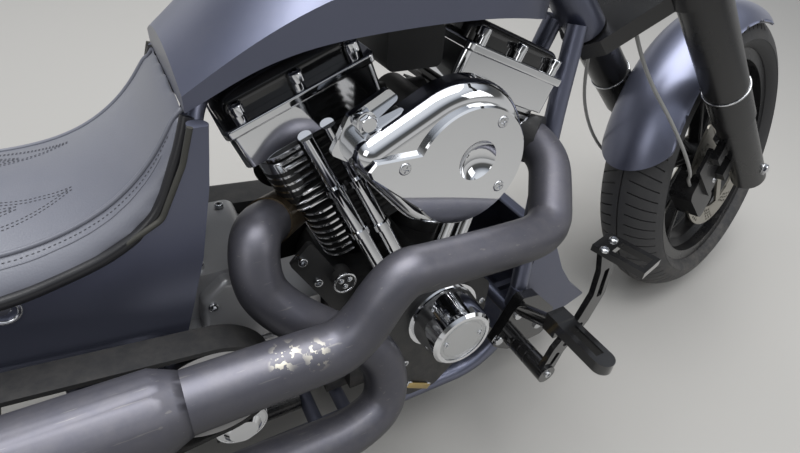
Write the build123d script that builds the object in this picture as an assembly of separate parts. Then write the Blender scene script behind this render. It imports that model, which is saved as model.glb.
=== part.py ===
from build123d import *
import math
import os

os.makedirs("parts", exist_ok=True)

# All sizes are millimetres. The machine is drawn upright, with the rear axle above the origin,
# +X forward, +Y to its left and +Z up. The last section turns the front end to its left stop
# and leans the whole machine on its side stand.

# Stance
WHEELBASE = 1700
RAKE = 46
WHEEL_LEAD = 110          # front axle ahead of the steering axis
STEER_STOP = 16
LEAN = 9

# Wheels: outer radius, width, crown radius, and the rim under them
FRONT_TYRE_R = 320
FRONT_TYRE_W = 130
FRONT_CROWN_R = 68
REAR_TYRE_R = 328
REAR_TYRE_W = 250
REAR_CROWN_R = 150
RIM_LIP_R = 243
RIM_BARREL_R = 212
RIM_WALL = 6
FRONT_RIM_W = 100
REAR_RIM_W = 222
SPOKE_PAIRS = 5
SPOKE_W = 15
SPOKE_SPREAD = 15         # degrees between the two bars of a pair at the rim
FRONT_DISC_R = 150
REAR_DISC_R = 146
DISC_T = 5
AXLE_R = 10
AXLE_FIT = 0.3

# Fork
LEG_SPREAD = 113          # leg axis from the centre line
SLIDER_R = 34
STANCHION_R = 37.5
SLIDER_TOP = 205          # above the axle, along the leg
LEG_BOTTOM = 42           # below the axle, along the leg
TREE_T = 32
LOWER_TREE = 575          # along the steering axis from the level of the axle
UPPER_TREE = 800
LEG_TOP = UPPER_TREE + 60
NECK_R = 30
STEM_R = 15
BAR_R = 12.7

# Frame
TUBE_R = 15
BACKBONE_R = 22
RAIL_Y = 106
RAIL_Z = 78
PIVOT = (450, 330)
ARM_Y = 190
ARM_T = 24

# Engine, from the centre of its crank
CRANK = (870, 270)
VEE = 22.5
CASE_HALF_W = 78
DECK = 115                # cylinder base above the crank
HEAD_BASE = 250
ROCKER_BASE = 345
LIP_BASE = 388             # the shelf round the rocker box, which carries the nuts
ROCKER_TOP = 400
COVER_TOP = 428
CYLINDER_FINS = 8
CYLINDER_FIN_REACH = 66
HEAD_FINS = 6
HEAD_FIN_REACH = 79
TOP_FINS = 3
FIN_T = 3.2
TOP_FIN_T = 5
FIN_CORNER = 28
ROD_WAY = (-28, -48)       # the fins stop here, in u and y, to let the pushrod tubes past
BORE_R = 45
ROCKER_HALF_U = 95
ROCKER_HALF_Y = 62

# Drive
SHAFT = (560, 332)        # gearbox output
FRONT_PULLEY_R = 70
REAR_PULLEY_R = 136
BELT_Y = 152
BELT_W = 38
BELT_T = 6

# Exhaust
PIPE_R = 32
MUFFLER_R = 43


# Helpers

def save(shape, name):
    shape.label = name
    export_step(shape, os.path.join("parts", name + ".step"))


def rod(start, end, radius, end_radius=None):
    """A straight round bar or cone from one point to another."""
    run = Vector(end) - Vector(start)
    place = Plane(origin=start, z_dir=run) * Pos(0, 0, run.length / 2)
    if end_radius is None:
        return place * Cylinder(radius, run.length)
    return place * Cone(radius, end_radius, run.length)


def soft_radii(points):
    """The largest even arc that fits each corner of a route."""
    radii = []
    for before, at, after in zip(points, points[1:], points[2:]):
        one, two = Vector(at) - Vector(before), Vector(after) - Vector(at)
        turn = math.radians(one.get_angle(two))
        radii.append(0.45 * min(one.length, two.length) / math.tan(turn / 2))
    return radii


def tube(points, radius, bore=0, radii=None):
    """A round bar or tube along straight runs joined by arcs."""
    if len(points) > 2:
        path = FilletPolyline(*points, radius=radii or soft_radii(points))
    else:
        path = Line(*points)
    start = Plane(origin=path @ 0, z_dir=path % 0)
    ring = Circle(radius) - Circle(bore) if bore else Circle(radius)
    return sweep(start * ring, path=path)


def across(x, z, y0, y1, radius):
    """A round bar that lies across the machine."""
    return Pos(x, (y0 + y1) / 2, z) * Rot(90, 0, 0) * Cylinder(radius, abs(y1 - y0))


def profile(points, y0, y1, radii=None):
    """A side outline of (x, z) points, rounded at its corners, as thick as y0 to y1."""
    plane = Plane(origin=(0, max(y0, y1), 0), x_dir=(1, 0, 0), z_dir=(0, -1, 0))
    if radii is None:
        line = Polyline(*points, close=True)
    else:
        line = FilletPolyline(*points, radius=radii, close=True)
    return extrude(plane * make_face(line), amount=abs(y1 - y0))


def block(x0, x1, y0, y1, z0, z1):
    size = (abs(x1 - x0), abs(y1 - y0), abs(z1 - z0))
    return Pos((x0 + x1) / 2, (y0 + y1) / 2, (z0 + z1) / 2) * Box(*size)


def joined(parts):
    whole = parts[0]
    for part in parts[1:]:
        whole = whole + part
    return whole


# Steering geometry. Fork parts are drawn in a plane whose x runs ahead of the steering axis,
# whose y is the machine's left and whose z runs up the axis from the level of the front axle.
rake = math.radians(RAKE)
front_axle = Vector(WHEELBASE, 0, FRONT_TYRE_R)
steer_up = Vector(-math.sin(rake), 0, math.cos(rake))
steer_ahead = Vector(math.cos(rake), 0, math.sin(rake))
steer_foot = front_axle - steer_ahead * WHEEL_LEAD
FORK = Plane(origin=steer_foot, x_dir=steer_ahead, z_dir=steer_up)
REAR_HUB = Pos(0, 0, REAR_TYRE_R)
FRONT_HUB = Pos(*front_axle)


# Wheels

def tyre(radius, width, crown, rim_width):
    """Crown as one arc, sidewalls as arcs down to the beads, solid to the rim."""
    half = width / 2
    shoulder = math.asin(min(half / crown, 0.96))
    shoulder_r = radius - crown + crown * math.cos(shoulder)
    shoulder_y = crown * math.sin(shoulder)
    bead_y = rim_width / 2 - RIM_WALL
    bead_r = RIM_LIP_R - 14
    wall_r = (shoulder_r + RIM_LIP_R) / 2
    crown_line = ThreePointArc((shoulder_r, -shoulder_y), (radius, 0), (shoulder_r, shoulder_y))
    left_wall = ThreePointArc((shoulder_r, shoulder_y), (wall_r, half), (RIM_LIP_R, rim_width / 2 + 1))
    right_wall = ThreePointArc((RIM_LIP_R, -rim_width / 2 - 1), (wall_r, -half), (shoulder_r, -shoulder_y))
    inner = Polyline((RIM_LIP_R, rim_width / 2 + 1), (RIM_LIP_R + 0.5, bead_y), (bead_r, bead_y),
                     (bead_r, -bead_y), (RIM_LIP_R + 0.5, -bead_y), (RIM_LIP_R, -rim_width / 2 - 1))
    face = make_face([crown_line, left_wall, inner, right_wall])
    return revolve(Plane.XY * face, axis=Axis.Y)


def rim(rim_width, hub_half, hub_r):
    """A dropped barrel with lips, a hub bored for its axle and pairs of spokes."""
    half = rim_width / 2
    seat_r = RIM_LIP_R - 14 - AXLE_FIT
    drop = half - 24
    outline = [(RIM_LIP_R, -half), (RIM_LIP_R, -half + RIM_WALL - 0.5), (seat_r, -half + RIM_WALL - 0.5),
               (seat_r - 2, -drop - 4), (RIM_BARREL_R, -drop + 8), (RIM_BARREL_R, drop - 8),
               (seat_r - 2, drop + 4), (seat_r, half - RIM_WALL + 0.5), (RIM_LIP_R, half - RIM_WALL + 0.5),
               (RIM_LIP_R, half), (seat_r - 8, half), (seat_r - 10, drop + 2),
               (RIM_BARREL_R - RIM_WALL, drop - 10), (RIM_BARREL_R - RIM_WALL, -drop + 10),
               (seat_r - 10, -drop - 2), (seat_r - 8, -half)]
    barrel = revolve(Plane.XY * make_face(Polyline(*outline, close=True)), axis=Axis.Y)
    wheel = barrel + across(0, 0, -hub_half, hub_half, hub_r)
    inner_r = hub_r - 6
    outer_r = RIM_BARREL_R - RIM_WALL / 2
    for pair in range(SPOKE_PAIRS):
        for side in (-1, 1):
            at_rim = math.radians(360 * pair / SPOKE_PAIRS + 90 + side * SPOKE_SPREAD)
            at_hub = math.radians(360 * pair / SPOKE_PAIRS + 90 + side * 8)
            foot = Vector(inner_r * math.cos(at_hub), 0, inner_r * math.sin(at_hub))
            tip = Vector(outer_r * math.cos(at_rim), 0, outer_r * math.sin(at_rim))
            run = tip - foot
            along = Plane(origin=foot, x_dir=(0, 1, 0), z_dir=run)
            bar = extrude(along * RectangleRounded(26, SPOKE_W, 5), amount=run.length)
            wheel = wheel + bar
    return wheel - across(0, 0, -hub_half - 1, hub_half + 1, AXLE_R + AXLE_FIT)


def disc(radius, y):
    """A brake disc on a five-armed carrier."""
    ring = across(0, 0, y, y + DISC_T, radius) - across(0, 0, y - 1, y + DISC_T + 1, radius - 42)
    carrier = across(0, 0, y, y + DISC_T, 46) - across(0, 0, y - 1, y + DISC_T + 1, 24)
    for arm in range(5):
        carrier = carrier + Rot(0, 72 * arm, 0) * block(40, radius - 38, y, y + DISC_T, -10, 10)
    return ring + carrier


FRONT_DISC_Y = 58
FRONT_HUB_HALF = FRONT_DISC_Y - 0.1
FRONT_HUB_R = 36
front_tyre = FRONT_HUB * tyre(FRONT_TYRE_R, FRONT_TYRE_W, FRONT_CROWN_R, FRONT_RIM_W)
front_rim = FRONT_HUB * rim(FRONT_RIM_W, FRONT_HUB_HALF, FRONT_HUB_R)
front_discs = [FRONT_HUB * disc(FRONT_DISC_R, FRONT_DISC_Y),
               FRONT_HUB * disc(FRONT_DISC_R, -FRONT_DISC_Y - DISC_T)]

REAR_HUB_HALF = 132
REAR_HUB_R = 44
rear_tyre = REAR_HUB * tyre(REAR_TYRE_R, REAR_TYRE_W, REAR_CROWN_R, REAR_RIM_W)
rear_rim = REAR_HUB * rim(REAR_RIM_W, REAR_HUB_HALF, REAR_HUB_R)
rear_disc = REAR_HUB * disc(REAR_DISC_R, REAR_HUB_HALF + 0.1)

# Rear pulley: toothed ring, web with round windows, hub
pulley_in = -(BELT_Y - BELT_W / 2 - 1)
pulley_out = -(BELT_Y + BELT_W / 2 + 1)
rear_pulley = across(0, 0, pulley_in, pulley_out, REAR_PULLEY_R)
rear_pulley -= across(0, 0, pulley_in + 1, pulley_out + 12, REAR_PULLEY_R - 14)
rear_pulley += across(0, 0, pulley_in, pulley_out, 48)
rear_pulley -= across(0, 0, pulley_in + 1, pulley_out - 1, AXLE_R + AXLE_FIT)
for window in range(6):
    rear_pulley -= Rot(0, 60 * window, 0) * across(84, 0, pulley_in + 1, pulley_out - 1, 26)
rear_pulley = REAR_HUB * rear_pulley

# Rear axle with its end nuts and the spacers out to the arms
arm_in = ARM_Y - ARM_T / 2
arm_out = ARM_Y + ARM_T / 2
rear_axle = across(0, 0, -arm_out - 22, arm_out + 22, AXLE_R)
for side in (-1, 1):
    inner_y = side * (-pulley_out + 0.5) if side < 0 else REAR_HUB_HALF + DISC_T + 0.5
    rear_axle += across(0, 0, inner_y, side * (arm_in - 0.3), 18)
    rear_axle += across(0, 0, side * (arm_out + 0.3), side * (arm_out + 14), 17)
rear_axle = REAR_HUB * rear_axle


# Fork, drawn beside the steering axis
FENDER_HALF = 73
PLATE_OUT = 91            # outer face of the plate that carries a caliper
FIT = 0.3

def fork_leg(side):
    y = side * LEG_SPREAD
    slider = Pos(WHEEL_LEAD, y, (SLIDER_TOP - LEG_BOTTOM) / 2) * Cylinder(SLIDER_R, SLIDER_TOP + LEG_BOTTOM)
    upper = Pos(WHEEL_LEAD, y, (SLIDER_TOP + LEG_TOP) / 2) * Cylinder(STANCHION_R, LEG_TOP - SLIDER_TOP)
    lugs = []
    for height in (70, 135):
        lugs.append(Pos(WHEEL_LEAD - 46, side * (PLATE_OUT + FIT + 8), height) * Box(44, 16, 26))
    stay = Pos(WHEEL_LEAD, side * (FENDER_HALF + 5.3), 295) * Box(24, 10, 16)
    leg = joined([slider, upper, stay] + lugs)
    cap = Pos(WHEEL_LEAD, y, LEG_TOP + 4) * Cylinder(STANCHION_R - 8, 8)
    leg = leg + cap
    hole = Pos(WHEEL_LEAD, y, 0) * Rot(90, 0, 0) * Cylinder(AXLE_R + AXLE_FIT, 3 * SLIDER_R)
    return FORK * (leg - hole)


fork_legs = [fork_leg(-1), fork_leg(1)]

front_axle_bar = FORK * Pos(WHEEL_LEAD, 0, 0) * Rot(90, 0, 0) * Cylinder(AXLE_R, 2 * (LEG_SPREAD + SLIDER_R + 3))
for side in (-1, 1):
    spacer_in = FRONT_DISC_Y + DISC_T + 0.5
    spacer = Pos(WHEEL_LEAD, side * (spacer_in + LEG_SPREAD - SLIDER_R) / 2, 0) * Rot(90, 0, 0)
    front_axle_bar += FORK * spacer * Cylinder(16, LEG_SPREAD - SLIDER_R - spacer_in - 0.6)


def tree(along, clearance):
    """A yoke: two clamps round the legs joined by a bridge to the stem."""
    clamp = [Pos(WHEEL_LEAD, side * LEG_SPREAD, along) * Cylinder(STANCHION_R + 13, TREE_T) for side in (-1, 1)]
    ahead = WHEEL_LEAD
    half = LEG_SPREAD
    bridge = Plane.XY.offset(along - TREE_T / 2) * make_face(
        Polyline((ahead + 26, -half), (ahead + 26, half), (ahead - 34, half), (-20, 34), (-34, 0),
                 (-20, -34), (ahead - 34, -half), close=True))
    yoke = joined([extrude(bridge, amount=TREE_T)] + clamp)
    for side in (-1, 1):
        yoke -= Pos(ahead, side * half, along) * Cylinder(STANCHION_R + clearance, TREE_T + 2)
    return yoke


NECK_FOOT = LOWER_TREE + TREE_T / 2 + 4
NECK_TOP = UPPER_TREE - TREE_T / 2 - 4
stem = Pos(0, 0, (LOWER_TREE + UPPER_TREE) / 2) * Cylinder(STEM_R, UPPER_TREE - LOWER_TREE)
cap_nut = Pos(0, 0, UPPER_TREE + TREE_T / 2 + 6) * Cylinder(17, 12)
triple_trees = FORK * joined([tree(LOWER_TREE, 0.0), tree(UPPER_TREE, 0.0), stem, cap_nut])

# Handlebar on two risers, with grips, levers and the front master cylinder
RISER_H = 74
bar_up = UPPER_TREE + TREE_T / 2 + RISER_H
# Bar stations, to be mirrored: ahead of the steering axis, out from the middle, above the risers
BAR = [(WHEEL_LEAD - 18, 90, 0), (WHEEL_LEAD - 30, 250, 10), (WHEEL_LEAD - 96, 398, -84)]
bar_points = [(x, -y, bar_up + up) for x, y, up in reversed(BAR)] + [(x, y, bar_up + up) for x, y, up in BAR]
handlebar_bar = tube(bar_points, BAR_R, radii=[60, 60, 60, 60])
risers = []
for side in (-1, 1):
    foot = UPPER_TREE + TREE_T / 2
    risers.append(Pos(WHEEL_LEAD - 18, side * 48, foot + RISER_H / 2) * Cylinder(19, RISER_H))
    risers.append(Pos(WHEEL_LEAD - 18, side * 48, bar_up) * Box(36, 34, 40))
handlebar = FORK * joined([handlebar_bar] + risers)

GRIP_R = 17
GRIP_L = 120
MIRROR_R = 4.25           # tapped hole for a mirror, top and depth above the bar
MIRROR_TOP = 30
MIRROR_DEPTH = 13
mirror_holes = []
hand_controls = []
for side in (-1, 1):
    end = Vector(*bar_points[-1 if side > 0 else 0])
    inner = Vector(*bar_points[-2 if side > 0 else 1])
    run = (inner - end).normalized()
    grip = rod(end - run * 4, end + run * GRIP_L, GRIP_R)
    perch = rod(end + run * (GRIP_L + 2), end + run * (GRIP_L + 34), GRIP_R + 3)
    ahead = Vector(1, 0, 0.15)
    pivot = end + run * (GRIP_L + 18) + ahead * 34
    arm = rod(end + run * (GRIP_L + 18), pivot, 8)
    lever = rod(pivot, pivot - run * 150 + ahead * 14, 6, 4.5)
    lever_tip = rod(pivot - run * 150 + ahead * 14, pivot - run * 156 + ahead * 14, 6)
    reservoir = rod(pivot + run * 6 + Vector(0, 0, -10), pivot + run * 6 + Vector(0, 0, 22), 15)
    boss_at = end + run * (GRIP_L + 18)
    boss = rod(boss_at, boss_at + Vector(0, 0, MIRROR_TOP), MIRROR_R + 5)
    whole = joined([grip, perch, arm, lever, lever_tip, reservoir, boss]) - handlebar_bar
    whole -= rod(boss_at + Vector(0, 0, MIRROR_TOP - MIRROR_DEPTH), boss_at + Vector(0, 0, MIRROR_TOP + 1), MIRROR_R)
    mirror_holes.append((FORK * Pos(*(boss_at + Vector(0, 0, MIRROR_TOP - MIRROR_DEPTH / 2)))).position)
    hand_controls.append(FORK * whole)

# Headlamp: a bullet shell with a sunk lens, on a stay from the lower tree
LAMP_R = 70
LAMP_RIM = 34
lamp_at = Vector(WHEEL_LEAD + 96, 0, LOWER_TREE + 128)
beam = Vector(math.cos(rake), 0, -math.sin(rake))
lamp_plane = Plane(origin=lamp_at, x_dir=(0, 1, 0), z_dir=beam)
lamp_shell = Pos(0, 0, LAMP_RIM / 2) * Cylinder(LAMP_R, LAMP_RIM) + Sphere(LAMP_R, arc_size2=0)
lamp_shell -= Pos(0, 0, LAMP_RIM) * Cylinder(LAMP_R - 6, 20)
lamp_glass = Pos(0, 0, LAMP_RIM - 6) * Cylinder(LAMP_R - 6.2, 7.8)
lamp_stay = Pos(WHEEL_LEAD + 38, 0, LOWER_TREE + 60) * Box(30, 34, 88)
lamp_stay += rod((WHEEL_LEAD + 38, 0, LOWER_TREE + 90), lamp_at, 14)
headlamp = FORK * (lamp_plane * lamp_shell + (lamp_stay - lamp_plane * Sphere(LAMP_R - 1)))
headlamp_glass = FORK * (lamp_plane * lamp_glass)


# Front fender: a curved blade over the top and rear of the wheel, with a stay to each leg
def fender(tyre_r, gap, half_width, drop, wall, start, end):
    """An arched strip round a tyre, from one angle to another, measured up from straight ahead."""
    outer_r = tyre_r + gap + wall
    face_out = make_face([
        ThreePointArc((outer_r - drop, -half_width), (outer_r, 0), (outer_r - drop, half_width)),
        Line((outer_r - drop, half_width), (outer_r - drop - wall, half_width - wall)),
        ThreePointArc((outer_r - drop - wall, half_width - wall), (outer_r - wall, 0),
                      (outer_r - drop - wall, wall - half_width)),
        Line((outer_r - drop - wall, wall - half_width), (outer_r - drop, -half_width))])
    ring = revolve(Plane.XY * face_out, axis=Axis.Y, revolution_arc=end - start)
    return Rot(0, -start, 0) * mirror(ring, Plane.XY)


front_fender = FRONT_HUB * fender(FRONT_TYRE_R, 14, FENDER_HALF, 42, 3, 74, 186)
REAR_GAP = 22
REAR_FENDER_HALF = 142
REAR_FENDER_T = 4
rear_fender = REAR_HUB * fender(REAR_TYRE_R, REAR_GAP, REAR_FENDER_HALF, 58, REAR_FENDER_T, 38, 150)


def under_fender(clearance):
    """The space that the rear fender and all inside it take up."""
    outer_r = REAR_TYRE_R + REAR_GAP + REAR_FENDER_T + clearance
    half = REAR_FENDER_HALF + clearance
    face = make_face([ThreePointArc((outer_r - 58, -half), (outer_r, 0), (outer_r - 58, half)),
                      Polyline((outer_r - 58, half), (100, half), (100, -half), (outer_r - 58, -half))])
    return REAR_HUB * revolve(Plane.XY * face, axis=Axis.Y)


fender_stays = []
for side in (-1, 1):
    stay_y = side * (arm_in + 5.5)
    stay = tube([(-30, stay_y, REAR_TYRE_R + 20), (-30, stay_y, 486), (-30, side * 150, 566), (-30, side * 141, 640)],
                6)
    fender_stays.append(stay - under_fender(0.0))

# Calipers hang behind the discs
front_calipers = []
for side in (-1, 1):
    y = side * (FRONT_DISC_Y + DISC_T / 2)
    body = Pos(WHEEL_LEAD - 118, y, 62) * Box(62, 46.6, 104)
    body = fillet(body.edges().filter_by(Axis.Y), 16)
    body -= Pos(WHEEL_LEAD, y, 0) * Rot(90, 0, 0) * Cylinder(FRONT_DISC_R + 4, DISC_T + 5)
    plate = Pos(WHEEL_LEAD - 78, side * (PLATE_OUT - 4), 102) * Box(58, 8, 104)
    front_calipers.append(FORK * (body + plate))

# Frame. Tubes are coped where one lands on another.
PIVOT_R = 16
POST_R = 12
neck_half = (NECK_TOP - NECK_FOOT) / 2
neck = FORK * Pos(0, 0, (NECK_FOOT + NECK_TOP) / 2) * Cylinder(NECK_R, 2 * neck_half)


def on_axis(along, ahead=0.0, side=0.0):
    point = steer_foot + steer_up * along + steer_ahead * ahead
    return (point.X, side, point.Z)


spine = [on_axis(NECK_TOP - 70, -STEM_R - 8), (950, 0, 760), (760, 0, 742), (668, 0, 676)]
backbone = tube(spine, BACKBONE_R)
frame_backbone = neck + backbone
frame_backbone -= FORK * Pos(0, 0, (NECK_FOOT + NECK_TOP) / 2) * Cylinder(STEM_R + FIT, 2 * neck_half)
downtube_top = on_axis(NECK_FOOT + 40, -STEM_R - 6)
frame_rails = []
for side in (-1, 1):
    y = side * RAIL_Y
    frame_rails.append(tube([(1084, y, 250), (1066, y, RAIL_Z), (430, y, RAIL_Z), (430, y, 470)],
                            TUBE_R, radii=[110, 70]))
    frame_rails.append(across(PIVOT[0], PIVOT[1], side * (RAIL_Y - 18), side * (RAIL_Y + TUBE_R), 24))
cross_members = [rod((1072, -RAIL_Y, 200), (1072, RAIL_Y, 200), 12),
                 rod((970, -RAIL_Y, RAIL_Z), (970, RAIL_Y, RAIL_Z), 12),
                 rod((760, -RAIL_Y, RAIL_Z), (760, RAIL_Y, RAIL_Z), 12),
                 rod((704, -RAIL_Y, RAIL_Z + 14), (704, RAIL_Y, RAIL_Z + 14), 12),
                 rod((430, -RAIL_Y, 400), (430, RAIL_Y, 400), 12)]
rails = joined(frame_rails + cross_members)
rails -= across(PIVOT[0], PIVOT[1], -RAIL_Y - 30, RAIL_Y + 30, PIVOT_R + FIT)
frame_downtubes = []
for side in (-1, 1):
    top = (downtube_top[0], side * 24, downtube_top[2])
    foot = (1084, side * RAIL_Y, 240)
    frame_downtubes.append(tube([top, (1128, side * 46, 540), foot], TUBE_R) - frame_backbone - rails)
frame_downtubes = [joined(frame_downtubes)]
frame_rear = []
POST_ROUTES = []
for side in (-1, 1):
    route = [(674, side * 8, 681), (655, side * 14, 671), (606, side * 58, 644), (592, side * 80, 596),
             (560, side * 86, 490), (430, side * RAIL_Y, 474)]
    POST_ROUTES.append(route)
    frame_rear.append(tube(route, POST_R) - frame_backbone - rails)
frame_rear = [joined(frame_rear)]

# Swingarm: two plates joined by the pivot shaft, with ears down to the shocks
SHOCK_Y = 52
SHOCK_Z = 100
swingarm = []
for side in (-1, 1):
    arm = profile([(PIVOT[0] + 34, PIVOT[1] - 34), (PIVOT[0] + 34, PIVOT[1] + 34), (PIVOT[0] - 40, PIVOT[1] + 38),
                   (30, REAR_TYRE_R + 34), (-52, REAR_TYRE_R + 26), (-52, REAR_TYRE_R - 26),
                   (30, REAR_TYRE_R - 34), (PIVOT[0] - 40, PIVOT[1] - 38)],
                  side * arm_in, side * arm_out, radii=14)
    arm -= across(0, REAR_TYRE_R, side * (arm_in - 1), side * (arm_out + 1), AXLE_R + AXLE_FIT)
    ear = profile([(446, SHOCK_Z - 20), (446, PIVOT[1]), (474, PIVOT[1]), (474, SHOCK_Z - 20)],
                  side * (SHOCK_Y - 8), side * (SHOCK_Y + 8), radii=9)
    swingarm += [arm, ear]
swingarm.append(across(PIVOT[0], PIVOT[1], -arm_in, arm_in, PIVOT_R))
swingarm = joined(swingarm + fender_stays)

# Engine. A cylinder plane has its origin at the crank, x along the cylinder's fore and aft,
# y to the left and z up the bore.
def bore_plane(side):
    lean = math.radians(VEE) * side
    return Plane(origin=(CRANK[0], 0, CRANK[1]), x_dir=(math.cos(lean), 0, -math.sin(lean)),
                 z_dir=(math.sin(lean), 0, math.cos(lean)))


REAR_BORE = bore_plane(-1)
FRONT_BORE = bore_plane(1)
PUSHROD_FOOT_Y = -104
PUSHROD_TOP_Y = -63
PUSHROD_R = 10.5
PORT_V = 310              # exhaust port, up the bore
PORT_END = (94, 76)       # its face, fore and aft and to the right of the bore
INTAKE_Z = 590
INTAKE_SPACE = 42
TIMER = (901, 288)
TIMER_R = 49
TIMER_FACE_Y = -194
CHEST_Y = -132
CHEST_TOP = 372
PRIMARY_IN = 86


def chamfered(half_u, y0, y1, cut):
    """An outline with cut corners."""
    return make_face(Polyline((-half_u + cut, y0), (half_u - cut, y0), (half_u, y0 + cut), (half_u, y1 - cut),
                              (half_u - cut, y1), (-half_u + cut, y1), (-half_u, y1 - cut),
                              (-half_u, y0 + cut), close=True))


def fin(reach, inner, y0, y1):
    """A fin: round corners away from the vee, and cut square at u = inner on its vee side."""
    bend = FIN_CORNER * (1 - math.sqrt(0.5))
    near, far = (-reach + FIN_CORNER, y0), (-reach, y0 + FIN_CORNER)
    far_left, near_left = (-reach, y1 - FIN_CORNER), (-reach + FIN_CORNER, y1)
    return make_face([Line((inner, y0), near), ThreePointArc(near, (-reach + bend, y0 + bend), far),
                      Line(far, far_left), ThreePointArc(far_left, (-reach + bend, y1 - bend), near_left),
                      Line(near_left, (inner, y1)), Line((inner, y1), (inner, y0))])


def cylinder(side):
    """Cylinder and head with their fins, and the exhaust port.

    Fins stop short of the plane half way between the two cylinders."""
    whole = Pos(0, 0, (DECK + HEAD_BASE) / 2) * Cylinder(BORE_R, HEAD_BASE - DECK)
    whole += Pos(0, 0, HEAD_BASE) * extrude(chamfered(62, -44, 58, 14), amount=ROCKER_BASE - HEAD_BASE - 0.1)
    rows = [(156 + 12 * n, CYLINDER_FIN_REACH, FIN_T) for n in range(CYLINDER_FINS)]
    rows += [(HEAD_BASE + 7 + 11 * n, HEAD_FIN_REACH, FIN_T) for n in range(HEAD_FINS)]
    rows += [(ROCKER_BASE - 5.1 - 9 * n, HEAD_FIN_REACH, TOP_FIN_T) for n in range(TOP_FINS)]
    for at, reach, thick in rows:
        inner = min(76, at * math.tan(math.radians(VEE)) - 3)
        whole += Pos(0, 0, at) * extrude(fin(reach, inner, -66, 66), amount=thick)
    whole -= Pos(ROD_WAY[0] + 75, ROD_WAY[1] - 30, (DECK + ROCKER_BASE) / 2) * Box(150, 60, ROCKER_BASE - DECK)
    whole += rod((-48, 0, PORT_V - 22), (-PORT_END[0], -PORT_END[1], PORT_V), PIPE_R + 4)
    if side > 0:
        whole = mirror(whole, Plane.YZ)
    whole = bore_plane(side) * whole
    return whole - across(CRANK[0], INTAKE_Z, -90, 34, INTAKE_SPACE)


def rocker_box():
    """Polished lower box with a shelf round its top and six tall nuts on the shelf."""
    box = Pos(0, 0, (ROCKER_BASE + LIP_BASE) / 2)
    box = box * Box(2 * ROCKER_HALF_U - 6, 2 * ROCKER_HALF_Y - 4, LIP_BASE - ROCKER_BASE)
    box = fillet(box.edges().filter_by(Axis.Z), 10)
    shelf = Box(2 * ROCKER_HALF_U, 2 * ROCKER_HALF_Y + 8, ROCKER_TOP - LIP_BASE)
    shelf = fillet(shelf.edges().filter_by(Axis.Z), 10)
    shelf = fillet(shelf.faces().sort_by(Axis.Z)[-1].edges() + shelf.faces().sort_by(Axis.Z)[0].edges(), 3)
    box += Pos(0, 0, (LIP_BASE + ROCKER_TOP) / 2) * shelf
    for u in (-70, 2, 72):
        for y in (-56, 56):
            box += Pos(u, y, ROCKER_TOP + 8) * Cylinder(7, 18)
    return box


def rocker_cover():
    """Black top cover, soft along its top edges."""
    cover = Box(2 * ROCKER_HALF_U - 8, 2 * ROCKER_HALF_Y - 28, COVER_TOP - ROCKER_TOP - 0.1)
    cover = fillet(cover.edges().filter_by(Axis.Z), 20)
    cover = fillet(cover.faces().sort_by(Axis.Z)[-1].edges(), 14)
    return Pos(0, 0, (COVER_TOP + ROCKER_TOP + 0.1) / 2) * cover


cylinder_rear = cylinder(-1)
cylinder_front = cylinder(1)
rocker_box_rear = REAR_BORE * rocker_box()
rocker_box_front = FRONT_BORE * mirror(rocker_box(), Plane.YZ)
rocker_covers = [REAR_BORE * rocker_cover(), FRONT_BORE * rocker_cover()]

# Crankcase: flywheel chamber, two decks, sump, feet, and the cam chest on the right
case = across(CRANK[0], CRANK[1], -CASE_HALF_W, CASE_HALF_W, 132)
case += block(CRANK[0] - 95, CRANK[0] + 95, -CASE_HALF_W, CASE_HALF_W, 108, CRANK[1])
for plane in (REAR_BORE, FRONT_BORE):
    case += plane * (Pos(0, 0, 85) * Box(140, 2 * CASE_HALF_W - 8, 2 * (DECK - 85)))
for plane in (REAR_BORE, FRONT_BORE):
    case -= plane * (Pos(0, 0, DECK - 0.1 + 60) * Box(160, 3 * CASE_HALF_W, 120))
case += block(CRANK[0] - 130, CRANK[0] + 130, -60, 60, 96, 128)
for foot_x in (760, 970):
    case += block(foot_x - 12, foot_x + 12, -50, 50, RAIL_Z + 12 + FIT, 100)
case += across(CRANK[0], CRANK[1], CASE_HALF_W, PRIMARY_IN - FIT, 60)
chest = profile([(CRANK[0] - 92, 356), (CRANK[0] - 92, 215), (CRANK[0] - 44, 158), (CRANK[0] - 16, 108),
                 (CRANK[0] + 40, 108), (CRANK[0] + 86, 160), (CRANK[0] + 118, 215), (CRANK[0] + 118, 318),
                 (CRANK[0] + 60, CHEST_TOP), (CRANK[0] - 60, CHEST_TOP)], -CASE_HALF_W + 2, CHEST_Y, radii=20)
# Engine plate behind the cam chest, with a round cap on it
PLATE_Y = -84
engine_plate = profile([(712, 454), (758, 372), (800, 360), (800, 300), (742, 300), (736, 334), (684, 424)],
                       PLATE_Y, PLATE_Y - 8, radii=[4, 12, 4, 4, 4, 12, 4])
engine_plate += block(752, 800, PLATE_Y + 20, PLATE_Y, 300, 350)
engine_plate += across(752, 384, PLATE_Y, PLATE_Y - 22, 15)
crankcase = case + chest + engine_plate

# Timer cover: a flange, a barrel that narrows outwards, a chamfered ring and a sunk face
timer_cover = across(TIMER[0], TIMER[1], CHEST_Y - 0.1, CHEST_Y - 7, TIMER_R + 11)
timer_cover += rod((TIMER[0], CHEST_Y - 7, TIMER[1]), (TIMER[0], TIMER_FACE_Y + 4, TIMER[1]), TIMER_R + 6, TIMER_R)
timer_cover += rod((TIMER[0], TIMER_FACE_Y + 4, TIMER[1]), (TIMER[0], TIMER_FACE_Y, TIMER[1]), TIMER_R, TIMER_R - 4)
timer_cover -= across(TIMER[0], TIMER[1], TIMER_FACE_Y + 2, TIMER_FACE_Y - 1, TIMER_R - 9)

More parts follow.
